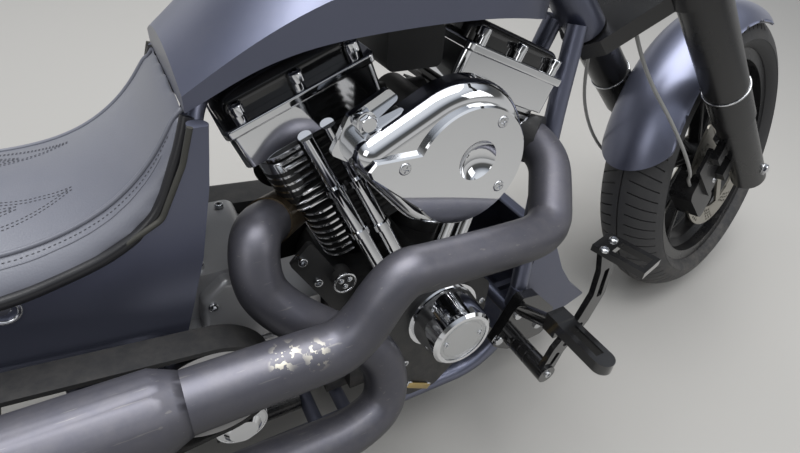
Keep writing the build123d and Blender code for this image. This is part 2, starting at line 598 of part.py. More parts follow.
# Pushrod tubes: two to each cylinder, closing up towards the cam chest. Each row has the side, the
# foot forward of the crank and the top in u, towards the vee
PUSHRODS = [(-1, -54, -17), (-1, -22, 13), (1, 54, -17), (1, 22, 13)]
pushrod_tubes = []
for side, foot_x, top_u in PUSHRODS:
    foot = Vector(CRANK[0] + foot_x, PUSHROD_FOOT_Y, CHEST_TOP - 4)
    top = bore_plane(side).from_local_coords(Vector(-side * top_u, PUSHROD_TOP_Y, ROCKER_BASE + 1))
    run = (top - foot).normalized()
    length = (top - foot).length
    pushrod = rod(foot, top, PUSHROD_R - 2)
    pushrod += rod(foot, foot + run * length * 0.66, PUSHROD_R)
    pushrod += rod(foot, foot + run * 20, PUSHROD_R + 4)
    for share in (0.36, 0.66):
        pushrod += rod(foot + run * length * share, foot + run * (length * share + 10), PUSHROD_R + 2.5)
    pushrod_tubes.append(pushrod - crankcase - cylinder_rear - cylinder_front - rocker_box_rear - rocker_box_front)

# Intake between the cylinders, carburettor, and the coil above it
AIR_CENTRE = (868, 577)
AIR_R = 91
AIR_TIP = (763, 597)
AIR_TIP_R = 24
AIR_FACE_Y = -178
AIR_BACK_Y = -134
AIR_FLANGE = 8
intake = across(CRANK[0], INTAKE_Z, AIR_BACK_Y + AIR_FLANGE + FIT, -20, 26)
intake += rod((CRANK[0], -20, INTAKE_Z), (CRANK[0], 14, INTAKE_Z), 26)
intake += rod((CRANK[0] - INTAKE_SPACE + FIT, 0, INTAKE_Z), (CRANK[0] + INTAKE_SPACE - FIT, 0, INTAKE_Z), 20)
intake += block(CRANK[0] - 30, CRANK[0] + 30, -112, -66, INTAKE_Z - 58, INTAKE_Z - 4)
intake = intake - cylinder_rear - cylinder_front
coil = fillet(block(832, 910, -44, 44, 640, 694).edges().filter_by(Axis.Y), 10)
coil += block(862, 882, -6, 6, 694, 745)
coil -= tube(spine, BACKBONE_R + FIT)

# Air cleaner: a teardrop with a rounded rim, a flat face and a dish off its centre
tip = Vector(AIR_TIP[0], AIR_TIP[1])
middle = Vector(*AIR_CENTRE)


def teardrop(grow):
    """Outline of a big circle and a small one joined by their tangents."""
    big, small = AIR_R + grow, AIR_TIP_R + grow
    run = tip - middle
    heading = math.atan2(run.Y, run.X)
    spread = math.acos((big - small) / run.length)
    up, down = heading - spread, heading + spread
    big_up = middle + Vector(math.cos(up), math.sin(up)) * big
    big_down = middle + Vector(math.cos(down), math.sin(down)) * big
    small_up = tip + Vector(math.cos(up), math.sin(up)) * small
    small_down = tip + Vector(math.cos(down), math.sin(down)) * small
    far = middle - run.normalized() * big
    nose = tip + run.normalized() * small
    return make_face([ThreePointArc(big_up, far, big_down), Line(big_down, small_down),
                      ThreePointArc(small_down, nose, small_up), Line(small_up, big_up)])


air_plane = Plane(origin=(0, AIR_BACK_Y, 0), x_dir=(1, 0, 0), z_dir=(0, -1, 0))
air_cleaner = extrude(air_plane * teardrop(0), amount=AIR_BACK_Y - AIR_FACE_Y - 7)
air_cleaner = fillet(air_cleaner.faces().sort_by(Axis.Y)[0].edges(), 21)
# Flat face: a disc with a tail to the tip, set low on the body, and a round dish in it
FACE = (876, 571)
FACE_R = 75
air_face = air_plane * (Pos(*FACE) * Circle(FACE_R))
air_face += air_plane * make_face(Polyline((754, 603), (820, 602), FACE, (828, 517), (750, 584), (746, 594),
                                           close=True))
air_face = extrude(air_face, amount=AIR_BACK_Y - AIR_FACE_Y)
air_face = chamfer(air_face.faces().sort_by(Axis.Y)[0].edges(), 2)
air_cleaner += air_face
air_cleaner -= Pos(883, AIR_FACE_Y - 20, 580) * Sphere(32)
air_cleaner += extrude(air_plane.offset(-AIR_FLANGE) * teardrop(-10), amount=AIR_FLANGE)
# Strap and pleated filter end behind the tip
air_strap = profile([(722, 598), (742, 638), (786, 662), (800, 650), (762, 620), (744, 584)], -128, -136, radii=5)
air_strap += across(758, 628, -128, -148, 9)
air_cleaner += air_strap

# Oil filter: a can that points to the right, low on the gearbox, with a crimped rim and a domed end
FILTER = (588, 196)
FILTER_R = 36
oil_filter = across(FILTER[0], FILTER[1], -78.3, -128, FILTER_R)
oil_filter += across(FILTER[0], FILTER[1], -84, -90, FILTER_R + 3)
oil_filter += across(FILTER[0], FILTER[1], -128, -140, FILTER_R - 10)
oil_filter = chamfer(oil_filter.faces().sort_by(Axis.Y)[0].edges(), 6)

# Gearbox behind the engine, with its top cover and the output boss
gearbox = profile([(492, 240), (492, 384), (540, 418), (640, 418), (668, 392), (668, 250), (640, 226), (520, 226)],
                  -78, 84, radii=14)
gearbox += fillet(block(508, 652, -88, 60, 398, 444).edges().filter_by(Axis.Y), 16)
side_cover = profile([(566, 330), (664, 326), (668, 372), (640, 430), (600, 440), (572, 416)], -70, -104, radii=12)
side_cover = fillet(side_cover.faces().sort_by(Axis.Y)[0].edges(), 8)
gearbox += side_cover + block(562, 670, -70, -108, 318, 328)
gearbox += across(SHAFT[0], SHAFT[1], -78, -(BELT_Y - BELT_W / 2) + 2, 38)
gearbox += block(540, 668, -60, 60, 150, 232)
gearbox += block(548, 626, -78, -50, 156, 240)
gearbox += block(660, CRANK[0] - 132.3, -50, 50, CRANK[1] - 50, CRANK[1] + 50)
gearbox -= across(CRANK[0], CRANK[1], -60, 60, 132 + FIT)
gearbox += block(600, 640, -40, 40, 118, 152)

# Primary case on the left, one long oval over crank and gearbox input
PRIMARY_Y = 152
primary_cover = profile([(484, 262), (484, 402), (574, 424), (960, 392), (1004, 340), (1004, 190), (930, 146),
                         (574, 226)], PRIMARY_IN, PRIMARY_Y, radii=[40, 50, 60, 60, 40, 60, 60, 60])
primary_cover = fillet(primary_cover.faces().sort_by(Axis.Y)[-1].edges(), 12)
primary_cover += across(CRANK[0], CRANK[1], PRIMARY_Y, PRIMARY_Y + 10, 62)
primary_cover += across(SHAFT[0], SHAFT[1], PRIMARY_Y, PRIMARY_Y + 10, 50)

# Belt: one fixed loop round both pulleys, with the front pulley on its shaft
belt_in, belt_out = -(BELT_Y - BELT_W / 2), -(BELT_Y + BELT_W / 2)


def belt_outline(front_r, rear_r):
    front, rear = Vector(*SHAFT), Vector(0, REAR_TYRE_R)
    run = front - rear
    heading = math.atan2(run.Y, run.X)
    spread = math.acos((rear_r - front_r) / run.length)
    up, down = heading + spread, heading - spread
    rear_up = rear + Vector(math.cos(up), math.sin(up)) * rear_r
    rear_down = rear + Vector(math.cos(down), math.sin(down)) * rear_r
    front_up = front + Vector(math.cos(up), math.sin(up)) * front_r
    front_down = front + Vector(math.cos(down), math.sin(down)) * front_r
    back = rear - run.normalized() * rear_r
    nose = front + run.normalized() * front_r
    return make_face([ThreePointArc(rear_down, back, rear_up), Line(rear_up, front_up),
                      ThreePointArc(front_up, nose, front_down), Line(front_down, rear_down)])


belt_plane = Plane(origin=(0, belt_in, 0), x_dir=(1, 0, 0), z_dir=(0, -1, 0))
BELT_GAP = 0.6
drive_belt = extrude(belt_plane * belt_outline(FRONT_PULLEY_R + BELT_GAP + BELT_T, REAR_PULLEY_R + BELT_GAP + BELT_T),
                     amount=BELT_W)
drive_belt -= extrude(belt_plane * belt_outline(FRONT_PULLEY_R + BELT_GAP, REAR_PULLEY_R + BELT_GAP),
                      amount=BELT_W)
front_pulley = across(SHAFT[0], SHAFT[1], belt_in - 0.5, belt_out + 0.5, FRONT_PULLEY_R)
front_pulley -= across(SHAFT[0], SHAFT[1], belt_in - 26, belt_out - 1, 56)
front_pulley += across(SHAFT[0], SHAFT[1], belt_in - 0.5, belt_out + 4, 30)

# Exhaust. The front pipe runs forward, down and back to the upper muffler; the rear pipe drops
# behind it and turns under it to the lower muffler. Both muffler cans are hollow at the outlet.
UPPER_Y, UPPER_Z = -236, 421
LOWER_Y, LOWER_Z = -232, 244
MUFFLER_START = 505
CONE_L = 26
PIPE_END = MUFFLER_START + CONE_L + FIT
UPPER_END = -96
LOWER_END = -56
OUTLET_DEPTH = 90
MUFFLER_WALL = 3


def muffler(y, z, end):
    """A can with its cone, slipped on the pipe's end and open at the outlet."""
    can = rod((MUFFLER_START + CONE_L, y, z), (MUFFLER_START, y, z), PIPE_R, MUFFLER_R)
    can += rod((MUFFLER_START, y, z), (end, y, z), MUFFLER_R)
    return can - rod((end + OUTLET_DEPTH, y, z), (end - 1, y, z), MUFFLER_R - MUFFLER_WALL)


front_port = FRONT_BORE.from_local_coords(Vector(PORT_END[0], -PORT_END[1], PORT_V))
rear_port = REAR_BORE.from_local_coords(Vector(-PORT_END[0], -PORT_END[1], PORT_V))
front_route = [front_port, (1102, -112, 524), (1086, -176, 506), (1010, -214, 499), (800, -228, 499),
               (754, -232, 499), (704, UPPER_Y, UPPER_Z), (PIPE_END, UPPER_Y, UPPER_Z)]
rear_route = [rear_port, (636, -98, 498), (636, -142, 434), (700, -178, 384), (764, -194, 340),
              (768, -218, 262), (712, LOWER_Y, LOWER_Z), (PIPE_END, LOWER_Y, LOWER_Z)]
pipe_front = tube(front_route, PIPE_R) - cylinder_front
pipe_rear = tube(rear_route, PIPE_R) - cylinder_rear
muffler_upper = muffler(UPPER_Y, UPPER_Z, UPPER_END)
muffler_lower = muffler(LOWER_Y, LOWER_Z, LOWER_END)

# Muffler bracket: a foot on the lower rail, out under the belt, and straps to both cans
bracket_x = 470
muffler_bracket = block(bracket_x - 14, bracket_x + 14, -236, -RAIL_Y - 4, RAIL_Z + 4, RAIL_Z + 10)
muffler_bracket += block(bracket_x - 14, bracket_x + 14, -235, -229, RAIL_Z + 4, LOWER_Z - MUFFLER_R + 4)
muffler_bracket += block(bracket_x - 14, bracket_x + 14, -235, -229, LOWER_Z + MUFFLER_R - 4, UPPER_Z - MUFFLER_R + 4)
muffler_bracket = muffler_bracket - muffler_upper - muffler_lower - rails


# Bodywork

def section(x, half, bottom, top, shoulder):
    """A closed cross-section at one station: flat bottom, sides and an arched top."""
    plane = Plane(origin=(x, 0, 0), x_dir=(0, 1, 0), z_dir=(1, 0, 0))
    right = (-half, bottom), (-half, shoulder)
    left = (half, shoulder), (half, bottom)
    return plane * make_face([Line(*right), ThreePointArc((-half, shoulder), (0, top), (half, shoulder)),
                              Line(*left), Line((half, bottom), (-half, bottom))])


# Tank stations: x, half width, lower edge, crown, shoulder
TANK = [(592, 106, 652, 692, 668), (622, 114, 670, 716, 690), (656, 120, 688, 746, 712), (760, 130, 714, 826, 758),
        (890, 142, 724, 870, 780), (980, 126, 714, 868, 782), (1022, 88, 706, 838, 782)]
fuel_tank = loft([section(*station) for station in TANK])
tunnel = profile([(spine[0][0], 600)] + [(x, z) for x, _, z in spine] + [(600, 600)],
                 -BACKBONE_R - FIT, BACKBONE_R + FIT)
fuel_tank = fuel_tank - tunnel - tube(spine, BACKBONE_R + FIT)
for route in POST_ROUTES:
    fuel_tank -= tube(route, POST_R + FIT)
# The front slopes with the neck, clear of the upper tree at full lock
TREE_SWEEP = 46
fuel_tank -= FORK * Pos(200 - TREE_SWEEP, 0, UPPER_TREE) * Box(400, 400, 300)
fuel_tank += Pos(862, 0, 862) * Cylinder(34, 22)

# Under-seat cowl: an open-bottomed painted cover, its front open for the frame
COWL_T = 5
COWL_Y = RAIL_Y + TUBE_R + FIT + COWL_T
cowl_line = [(608, 646), (592, 646), (580, 610), (552, 556), (500, 528), (430, 518), (350, 518), (346, 500),
             (352, 384), (500, 372), (548, 394), (562, 436), (582, 500), (600, 584)]
cowl = profile(cowl_line, -COWL_Y, COWL_Y)
cowl_hollow = profile([(700, 660), (592, 660), (588, 640), (574, 606), (547, 551), (498, 522), (430, 512), (358, 512),
                       (358, 300), (700, 300)], -COWL_Y + COWL_T, COWL_Y - COWL_T)
cowl -= cowl_hollow
cowl -= block(552, 660, -98, 98, 540, 700)
cowl -= block(478, 700, 90, 140, 300, 430)
# Rolled front edges
CURL_R = 10
for side in (-1, 1):
    curl_y = side * (COWL_Y - CURL_R)
    cowl += tube([(600, curl_y, 645), (592, curl_y, 584), (574, curl_y, 502), (554, curl_y, 440), (550, curl_y, 434)],
                 CURL_R)
cowl -= under_fender(1.0)

# Seat stations: x, half width, lower edge, welt half width, welt height, crown
SEAT = [(592, 106, 642, 88, 652, 656), (576, 114, 606, 92, 632, 640), (546, 122, 554, 96, 596, 606),
        (503, 128, 526, 100, 564, 580), (450, 134, 512, 104, 546, 562), (403, 138, 506, 106, 542, 560),
        (333, 140, 506, 106, 548, 572), (243, 132, 530, 98, 592, 624), (168, 112, 590, 80, 664, 696)]


def seat_section(x, half, bottom, welt, welt_z, crown):
    """Flat underneath, a bulging side panel up to the welt, and an arched top panel."""
    plane = Plane(origin=(x, 0, 0), x_dir=(0, 1, 0), z_dir=(1, 0, 0))
    side_mid = ((half + welt) / 2 + 5, (bottom + welt_z) / 2 + 3)
    return plane * make_face([ThreePointArc((-half, bottom), (-side_mid[0], side_mid[1]), (-welt, welt_z)),
                              ThreePointArc((-welt, welt_z), (0, crown), (welt, welt_z)),
                              ThreePointArc((welt, welt_z), side_mid, (half, bottom)),
                              Line((half, bottom), (-half, bottom))])


seat = loft([seat_section(*station) for station in reversed(SEAT)])
seat -= profile([(620, 400), (620, 646.5), (591.5, 646.5), (579.6, 610.4), (551.6, 556.4), (499.8, 528.4),
                 (430, 518.4), (345, 518.4), (345, 400)], -COWL_Y - FIT, COWL_Y + FIT)
seat -= under_fender(0.4)
for route in POST_ROUTES:
    seat -= tube(route, POST_R + FIT)

# Tail lamp on the fender
tail_lamp = profile([(-262, 524), (-236, 560), (-226, 592), (-262, 574), (-292, 538), (-286, 520)], -42, 42, radii=4)
tail_lamp -= under_fender(0.3)

# Chin panel ahead of the engine, between the downtubes
chin_line = [(1088, 92), (1180, 104), (1284, 148), (1236, 190), (1194, 246), (1160, 310), (1142, 346),
             (1122, 344), (1106, 240)]
chin_spoiler = profile(chin_line, -98, 98, radii=[6, 30, 4, 30, 40, 30, 6, 6, 6])
chin_spoiler -= profile([(1040, 92), (1178, 109), (1272, 149), (1232, 186), (1190, 243), (1156, 307), (1138, 340),
                         (1040, 340)], -94, 94, radii=[2, 28, 3, 30, 40, 30, 4, 2])
for side in (-1, 1):
    chin_spoiler += block(1072, 1228, side * 44, side * 56, 192, 204)
chin_spoiler -= joined(frame_downtubes)
chin_spoiler -= rails

# Forward controls
FOOT_Y = 132


ARM_OUTER = [(1076, 158), (1088, 208), (1122, 266), (1137, 322), (1131, 384), (1114, 436)]
ARM_INNER = [(1090, 424), (1107, 372), (1111, 324), (1097, 278), (1063, 224), (1047, 172)]
ARM_WINDOWS = [[(1063, 186), (1071, 183), (1081, 208), (1073, 213)],
               [(1080, 226), (1088, 220), (1112, 264), (1105, 270)],
               [(1119, 318), (1129, 319), (1124, 378), (1115, 374)]]


def controls(side):
    """Mount plate on the rail, slotted peg on its clevis, slotted pedal arm with an open pad."""
    plate = profile([(1018, 160), (1062, 258), (1100, 252), (1150, 200), (1140, 140), (1060, 132)],
                    side * (RAIL_Y + TUBE_R + 0.3), side * (FOOT_Y + 8), radii=12)
    pivot = across(1061, 167, side * (FOOT_Y + 8), side * (FOOT_Y + 102), 17)
    for groove in (24, 40, 56):
        pivot -= across(1061, 167, side * (FOOT_Y + groove), side * (FOOT_Y + groove + 4), 18)
        pivot += across(1061, 167, side * (FOOT_Y + groove), side * (FOOT_Y + groove + 4), 15)
    arm = profile(ARM_OUTER + ARM_INNER, side * (FOOT_Y + 88), side * (FOOT_Y + 98), radii=8)
    for window in ARM_WINDOWS:
        arm -= profile(window, side * (FOOT_Y + 80), side * (FOOT_Y + 110), radii=3)
    pad = Box(46, 76, 10) - Pos(0, side * 9, 0) * Box(28, 44, 12)
    pad = Pos(1094, side * (FOOT_Y + 130), 436) * Rot(0, 0, -side * 14) * pad
    clevis = rod((1066, side * (FOOT_Y + 8), 232), (1040, side * (FOOT_Y + 104), 298), 12)
    clevis += block(1024, 1056, side * (FOOT_Y + 92), side * (FOOT_Y + 116), 288, 320)
    peg = block(1024, 1056, side * (FOOT_Y + 108), side * (FOOT_Y + 190), 300, 318)
    peg += Pos(1040, side * (FOOT_Y + 190), 309) * Cylinder(16, 18)
    peg -= block(1033, 1047, side * (FOOT_Y + 128), side * (FOOT_Y + 184), 290, 330)
    whole = joined([plate, pivot, arm, pad, clevis, peg])
    if side > 0:
        link = rod((1061, side * (FOOT_Y + 66), 178), (700, side * (FOOT_Y + 66), 250), 5)
        shaft = across(700, 250, PRIMARY_Y + FIT, side * (FOOT_Y + 72), 9)
        whole = whole + link + shaft
    return whole


controls_right = controls(-1)
controls_left = controls(1)

# Rear caliper on the left arm
caliper_y = REAR_HUB_HALF + DISC_T / 2
rear_caliper = Pos(-112, caliper_y + 2, REAR_TYRE_R + 76) * Box(84, 54, 66)
rear_caliper = fillet(rear_caliper.edges().filter_by(Axis.Y), 14)
rear_caliper -= across(0, REAR_TYRE_R, REAR_HUB_HALF - 4, REAR_HUB_HALF + DISC_T + 4, REAR_DISC_R + 4)
rear_caliper += profile([(-120, 380), (-90, 420), (-20, 352), (-30, 330)], arm_in - FIT, arm_in - 16, radii=4)
rear_caliper -= across(0, REAR_TYRE_R, 100, 200, 19)
rear_caliper = rear_caliper - swingarm

# Shocks under the gearbox
rear_shocks = []
for side in (-1, 1):
    body = rod((704 - 12 - FIT, side * SHOCK_Y, SHOCK_Z), (560, side * SHOCK_Y, SHOCK_Z), 18)
    body += rod((560, side * SHOCK_Y, SHOCK_Z), (474 + FIT, side * SHOCK_Y, SHOCK_Z), 8)
    body += rod((566, side * SHOCK_Y, SHOCK_Z), (554, side * SHOCK_Y, SHOCK_Z), 21)
    rear_shocks.append(body - rails)

# Brake hoses, held by the fork from the lower tree to each caliper
brake_hoses = []

HOSE_R = 3.2


for side in (-1, 1):
    route = [(62, side * 34, LOWER_TREE - TREE_T / 2), (40, side * 40, 512), (10, side * 60, 450),
             (-4, side * 80, 386), (-14, side * 92, 318), (-20, side * 96, 250), (-20, side * 90, 186),
             (-12, side * 72, 146), (-11, side * 70, 114)]
    hose = tube(route, HOSE_R)
    hose -= Pos(WHEEL_LEAD, 0, LOWER_TREE) * Box(400, 400, TREE_T)
    hose -= Pos(WHEEL_LEAD - 118, side * 60, 62) * Box(62, 60, 104)
    brake_hoses.append(FORK * hose)

# Side stand: drawn where it stands when parked, from its pivot out to a foot on the ground
STAND_PIVOT = (640, RAIL_Y + TUBE_R + 22, RAIL_Z + 16)
STAND_REACH = (66, 196)
STAND_BACK = (-200, 45, -2)
STAND_R = 9
FOOT_R = 24
FOOT_T = 7


# Parking: the front end turned left on its stop, then the pitch at which both tyres touch the
# floor, then the lean, then the lift that puts the tyres on the floor
STEER = FORK.location * Rot(0, 0, STEER_STOP) * FORK.location.inverse()


def direction(location, vector):
    return (location * Pos(*vector)).position - location.position


def lift_for(location, hub, axle, radius, crown):
    """How far a leaning tyre has to rise to touch the floor with its crown."""
    centre = (location * Pos(*hub)).position
    tilt = direction(location, axle)
    ring = radius - crown
    return ring * math.sqrt(1 - tilt.Z ** 2) + crown - centre.Z


turned_hub = (STEER * Pos(*front_axle)).position
turned_axle = direction(STEER, (0, 1, 0))
pitch = 0
for step in range(6):
    leaned = Rot(-LEAN, 0, 0) * Rot(0, pitch, 0)
    rear_lift = lift_for(leaned, (0, 0, REAR_TYRE_R), (0, 1, 0), REAR_TYRE_R, REAR_CROWN_R)
    front_lift = lift_for(leaned, turned_hub, turned_axle, FRONT_TYRE_R, FRONT_CROWN_R)
    pitch -= math.degrees((front_lift - rear_lift) / WHEELBASE)
PARK = Pos(0, 0, rear_lift) * Rot(-LEAN, 0, 0) * Rot(0, pitch, 0)

pivot_at = (PARK * Pos(*STAND_PIVOT)).position
foot_at = Vector(pivot_at.X + STAND_REACH[0], pivot_at.Y + STAND_REACH[1], FOOT_T)
stand_out = (foot_at - pivot_at).normalized()
stand_back = Vector(*STAND_BACK).normalized()
stand_axis = stand_out.cross(stand_back).normalized()
stand_swing = stand_out.get_angle(stand_back)
BARREL_H = 11
PIN_R = 5
side_stand = rod(pivot_at - stand_axis * BARREL_H, pivot_at + stand_axis * BARREL_H, 13)
side_stand += rod(pivot_at, foot_at, STAND_R)
side_stand += Pos(foot_at.X, foot_at.Y, FOOT_T / 2) * Cylinder(FOOT_R, FOOT_T)
side_stand -= rod(pivot_at - stand_axis * 40, pivot_at + stand_axis * 40, PIN_R + FIT)

# Its bracket on the left rail: a pin between two ears
ear_gap = BARREL_H + 0.5
bracket = rod(pivot_at - stand_axis * (ear_gap + 8), pivot_at + stand_axis * (ear_gap + 8), PIN_R)
for side in (-1, 1):
    bracket += rod(pivot_at + stand_axis * side * ear_gap, pivot_at + stand_axis * side * (ear_gap + 8), 13)
bracket = PARK.inverse() * bracket
for side in (-1, 1):
    ear_up = side * (ear_gap + 5)
    bracket += block(STAND_PIVOT[0] - 12, STAND_PIVOT[0] + 12, RAIL_Y + 6, STAND_PIVOT[1] - 7 + (4 if side > 0 else -4),
                     STAND_PIVOT[2] + ear_up - 2.5, STAND_PIVOT[2] + ear_up + 2.5)
bracket += block(STAND_PIVOT[0] - 12, STAND_PIVOT[0] + 12, RAIL_Y + 6, RAIL_Y + TUBE_R + 2,
                 STAND_PIVOT[2] - ear_gap - 7.5, STAND_PIVOT[2] + ear_gap + 7.5)
rails += bracket


# Joint axes and places, for the record: in the parked stance, millimetres
joints = {
    "steering": ((PARK * Pos(*steer_foot)).position, direction(PARK, steer_up)),
    "front_wheel": ((PARK * STEER * Pos(*front_axle)).position, direction(PARK * STEER, (0, 1, 0))),
    "rear_wheel": ((PARK * Pos(0, 0, REAR_TYRE_R)).position, direction(PARK, (0, 1, 0))),
    "side_stand": (pivot_at, stand_axis),
}
for name, (place, axis) in joints.items():
    print(name, [round(v, 2) for v in place], [round(v, 5) for v in axis])
print("stand swing", round(stand_swing, 1), "pitch", round(pitch, 3), "lift", round(rear_lift, 3))

# Each piece with the way it is placed: on the body, or on the front end as it is turned
TURNED = PARK * STEER
PIECES = [
    (PARK, "frame_backbone", [frame_backbone]),
    (PARK, "frame_downtubes", frame_downtubes),
    (PARK, "frame_rails", [rails]),
    (PARK, "frame_rear", frame_rear),
    (PARK, "swingarm", [swingarm]),
    (PARK, "rear_shocks", rear_shocks),
    (PARK, "crankcase", [crankcase]),
    (PARK, "cylinder_rear", [cylinder_rear]),
    (PARK, "cylinder_front", [cylinder_front]),
    (PARK, "rocker_boxes", [rocker_box_rear, rocker_box_front]),
    (PARK, "rocker_covers", rocker_covers),
    (PARK, "pushrod_tubes", pushrod_tubes),
    (PARK, "timer_cover", [timer_cover]),
    (PARK, "intake", [intake]),
    (PARK, "coil", [coil]),
    (PARK, "air_cleaner", [air_cleaner]),
    (PARK, "oil_filter", [oil_filter]),
    (PARK, "gearbox", [gearbox]),
    (PARK, "primary_cover", [primary_cover]),
    (PARK, "drive_belt", [drive_belt]),
    (PARK, "front_pulley", [front_pulley]),
    (PARK, "exhaust_front", [pipe_front, muffler_upper]),
    (PARK, "exhaust_rear", [pipe_rear, muffler_lower, muffler_bracket]),
    (PARK, "fuel_tank", [fuel_tank]),
    (PARK, "seat", [seat]),
    (PARK, "cowl", [cowl]),
    (PARK, "rear_fender", [rear_fender]),
    (PARK, "tail_lamp", [tail_lamp]),
    (PARK, "chin_spoiler", [chin_spoiler]),
    (PARK, "controls_right", [controls_right]),
    (PARK, "controls_left", [controls_left]),
    (PARK, "rear_axle", [rear_axle]),
    (PARK, "rear_caliper", [rear_caliper]),
    (PARK, "rear_tyre", [rear_tyre]),
    (PARK, "rear_rim", [rear_rim]),
    (PARK, "rear_disc", [rear_disc]),
    (PARK, "rear_pulley", [rear_pulley]),
    (TURNED, "triple_trees", [triple_trees]),
    (TURNED, "fork_legs", fork_legs),
    (TURNED, "front_axle", [front_axle_bar]),
    (TURNED, "handlebar", [handlebar]),
    (TURNED, "hand_controls", hand_controls),
    (TURNED, "headlamp", [headlamp]),
    (TURNED, "headlamp_glass", [headlamp_glass]),
    (TURNED, "front_fender", [front_fender]),
    (TURNED, "front_calipers", front_calipers),
    (TURNED, "brake_hoses", brake_hoses),
    (TURNED, "front_tyre", [front_tyre]),
    (TURNED, "front_rim", [front_rim]),
    (TURNED, "front_discs", front_discs),
    (Pos(0, 0, 0), "side_stand", [side_stand]),
]
for place, name, shapes in PIECES:
    solids = [solid for shape in shapes for solid in shape.solids()]
    save(place * Compound(solids), name)
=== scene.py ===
# %% [markdown]
# A low chopper, dressed for its portrait. Everything here adds finishes to those parts, and
# the soft, thin and small pieces that a workshop adds last. All lengths are metres.

import math

import bmesh
import bpy
from mathutils import Matrix, Vector, bvhtree, kdtree


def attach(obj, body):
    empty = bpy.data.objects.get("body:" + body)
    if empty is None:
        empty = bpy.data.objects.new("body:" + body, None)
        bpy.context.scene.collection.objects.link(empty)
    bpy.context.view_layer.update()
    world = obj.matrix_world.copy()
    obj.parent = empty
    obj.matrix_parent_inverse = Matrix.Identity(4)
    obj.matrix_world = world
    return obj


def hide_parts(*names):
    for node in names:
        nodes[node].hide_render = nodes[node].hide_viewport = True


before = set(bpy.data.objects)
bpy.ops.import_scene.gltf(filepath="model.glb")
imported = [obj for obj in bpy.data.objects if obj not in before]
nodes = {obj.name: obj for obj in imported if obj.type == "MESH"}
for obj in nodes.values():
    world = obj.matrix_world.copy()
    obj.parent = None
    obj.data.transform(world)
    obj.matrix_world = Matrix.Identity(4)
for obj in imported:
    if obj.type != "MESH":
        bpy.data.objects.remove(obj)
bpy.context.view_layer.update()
print("hard parts:", len(nodes))

# %% [markdown]
# The machine was drawn upright and then leaned on its stand. To place a bolt on an engine that
# leans, it is easier to say where it sits on the upright engine and let one matrix lean it.
# The same is true of the front end, which is drawn beside the steering axis and then turned.

# %% The stance, and the turned front end
LEAN = math.radians(9)
PITCH = math.radians(0.194)
LIFT = 0.001849
MM = 0.001
STANCE = Matrix.Translation((0, 0, LIFT)) @ Matrix.Rotation(-LEAN, 4, "X") @ Matrix.Rotation(PITCH, 4, "Y")

RAKE = math.radians(46)
STEER_STOP = math.radians(16)
FRONT_TYRE_R, REAR_TYRE_R = 0.32, 0.328
FRONT_AXLE = Vector((1.7, 0, FRONT_TYRE_R))
WHEEL_LEAD = 0.11
up_fork = Vector((-math.sin(RAKE), 0, math.cos(RAKE)))
ahead = Vector((math.cos(RAKE), 0, math.sin(RAKE)))
FORK = Matrix((ahead, (0, 1, 0), up_fork)).transposed().to_4x4()
FORK.translation = FRONT_AXLE - ahead * WHEEL_LEAD
TURNED = STANCE @ FORK @ Matrix.Rotation(STEER_STOP, 4, "Z")
print("steering foot:", [round(v, 3) for v in TURNED.translation])

# %% [markdown]
# The photograph looks down on the engine's right side from about a rider's eye, close by, so the
# lens is wide. The camera stands where the perspective of the engine and front wheel puts it.

# %% The camera
VIEW_FROM = Vector((0.5391, -0.5875, 0.8666))
AZIMUTH, ELEVATION, ROLL = (math.radians(a) for a in (-31.23, 36.24, 4.73))
PHOTO_WIDTH = 800
FOCAL_PIXELS = 527.2
SENSOR = 36.0

back = Vector((math.sin(AZIMUTH) * math.cos(ELEVATION), -math.cos(AZIMUTH) * math.cos(ELEVATION),
               math.sin(ELEVATION)))
level = Vector((0, 0, 1)).cross(back).normalized()
upward = back.cross(level)
right_axis = level * math.cos(ROLL) + upward * math.sin(ROLL)
top_axis = upward * math.cos(ROLL) - level * math.sin(ROLL)
camera = bpy.data.objects.new("camera", bpy.data.cameras.new("camera"))
bpy.context.scene.collection.objects.link(camera)
turn = Matrix((right_axis, top_axis, back)).transposed().to_4x4()
camera.matrix_world = STANCE @ Matrix.Translation(VIEW_FROM) @ turn
camera.data.sensor_width = SENSOR
camera.data.lens = SENSOR * FOCAL_PIXELS / PHOTO_WIDTH
camera.data.clip_start = 0.01
bpy.context.scene.camera = camera
print("lens:", round(camera.data.lens, 2))

# %% [markdown]
# Chrome shows what is round it. The world is pale near the horizon, where the side views see it,
# then a dark band as tall trees would be, and a bright sky overhead, so that a mirror finish has
# something dark to draw its edges with.

# %% Floor, sky and lamps
def put(tree, kind, values=None, **settings):
    """Adds a node, and fills or links its inputs by name or number."""
    node = tree.nodes.new(kind)
    for name, value in settings.items():
        setattr(node, name, value)
    for key, value in (values or {}).items():
        if isinstance(value, bpy.types.NodeSocket):
            tree.links.new(value, node.inputs[key])
        else:
            node.inputs[key].default_value = value
    return node


def ramp(tree, factor, stops):
    """A colour ramp from (position, colour) pairs."""
    node = put(tree, "ShaderNodeValToRGB", {0: factor})
    elements = node.color_ramp.elements
    while len(elements) < len(stops):
        elements.new(0.5)
    for element, (position, colour) in zip(elements, stops):
        element.position = position
        element.color = (*colour, 1)
    return node.outputs[0]


def object_place(tree):
    return put(tree, "ShaderNodeTexCoord").outputs["Object"]


def maths(tree, operation, first, second=0.0, clamp=False):
    return put(tree, "ShaderNodeMath", {0: first, 1: second}, operation=operation, use_clamp=clamp).outputs[0]


def blended(tree, factor, first, second):
    """Mixes two colours."""
    return put(tree, "ShaderNodeMix", {0: factor, 6: first, 7: second}, data_type="RGBA").outputs[2]


def between(tree, value, low, high, **ends):
    """A value's place between two others, from 0 to 1 or from To Min to To Max."""
    values = {"Value": value, "From Min": low, "From Max": high, **ends}
    return put(tree, "ShaderNodeMapRange", values).outputs[0]


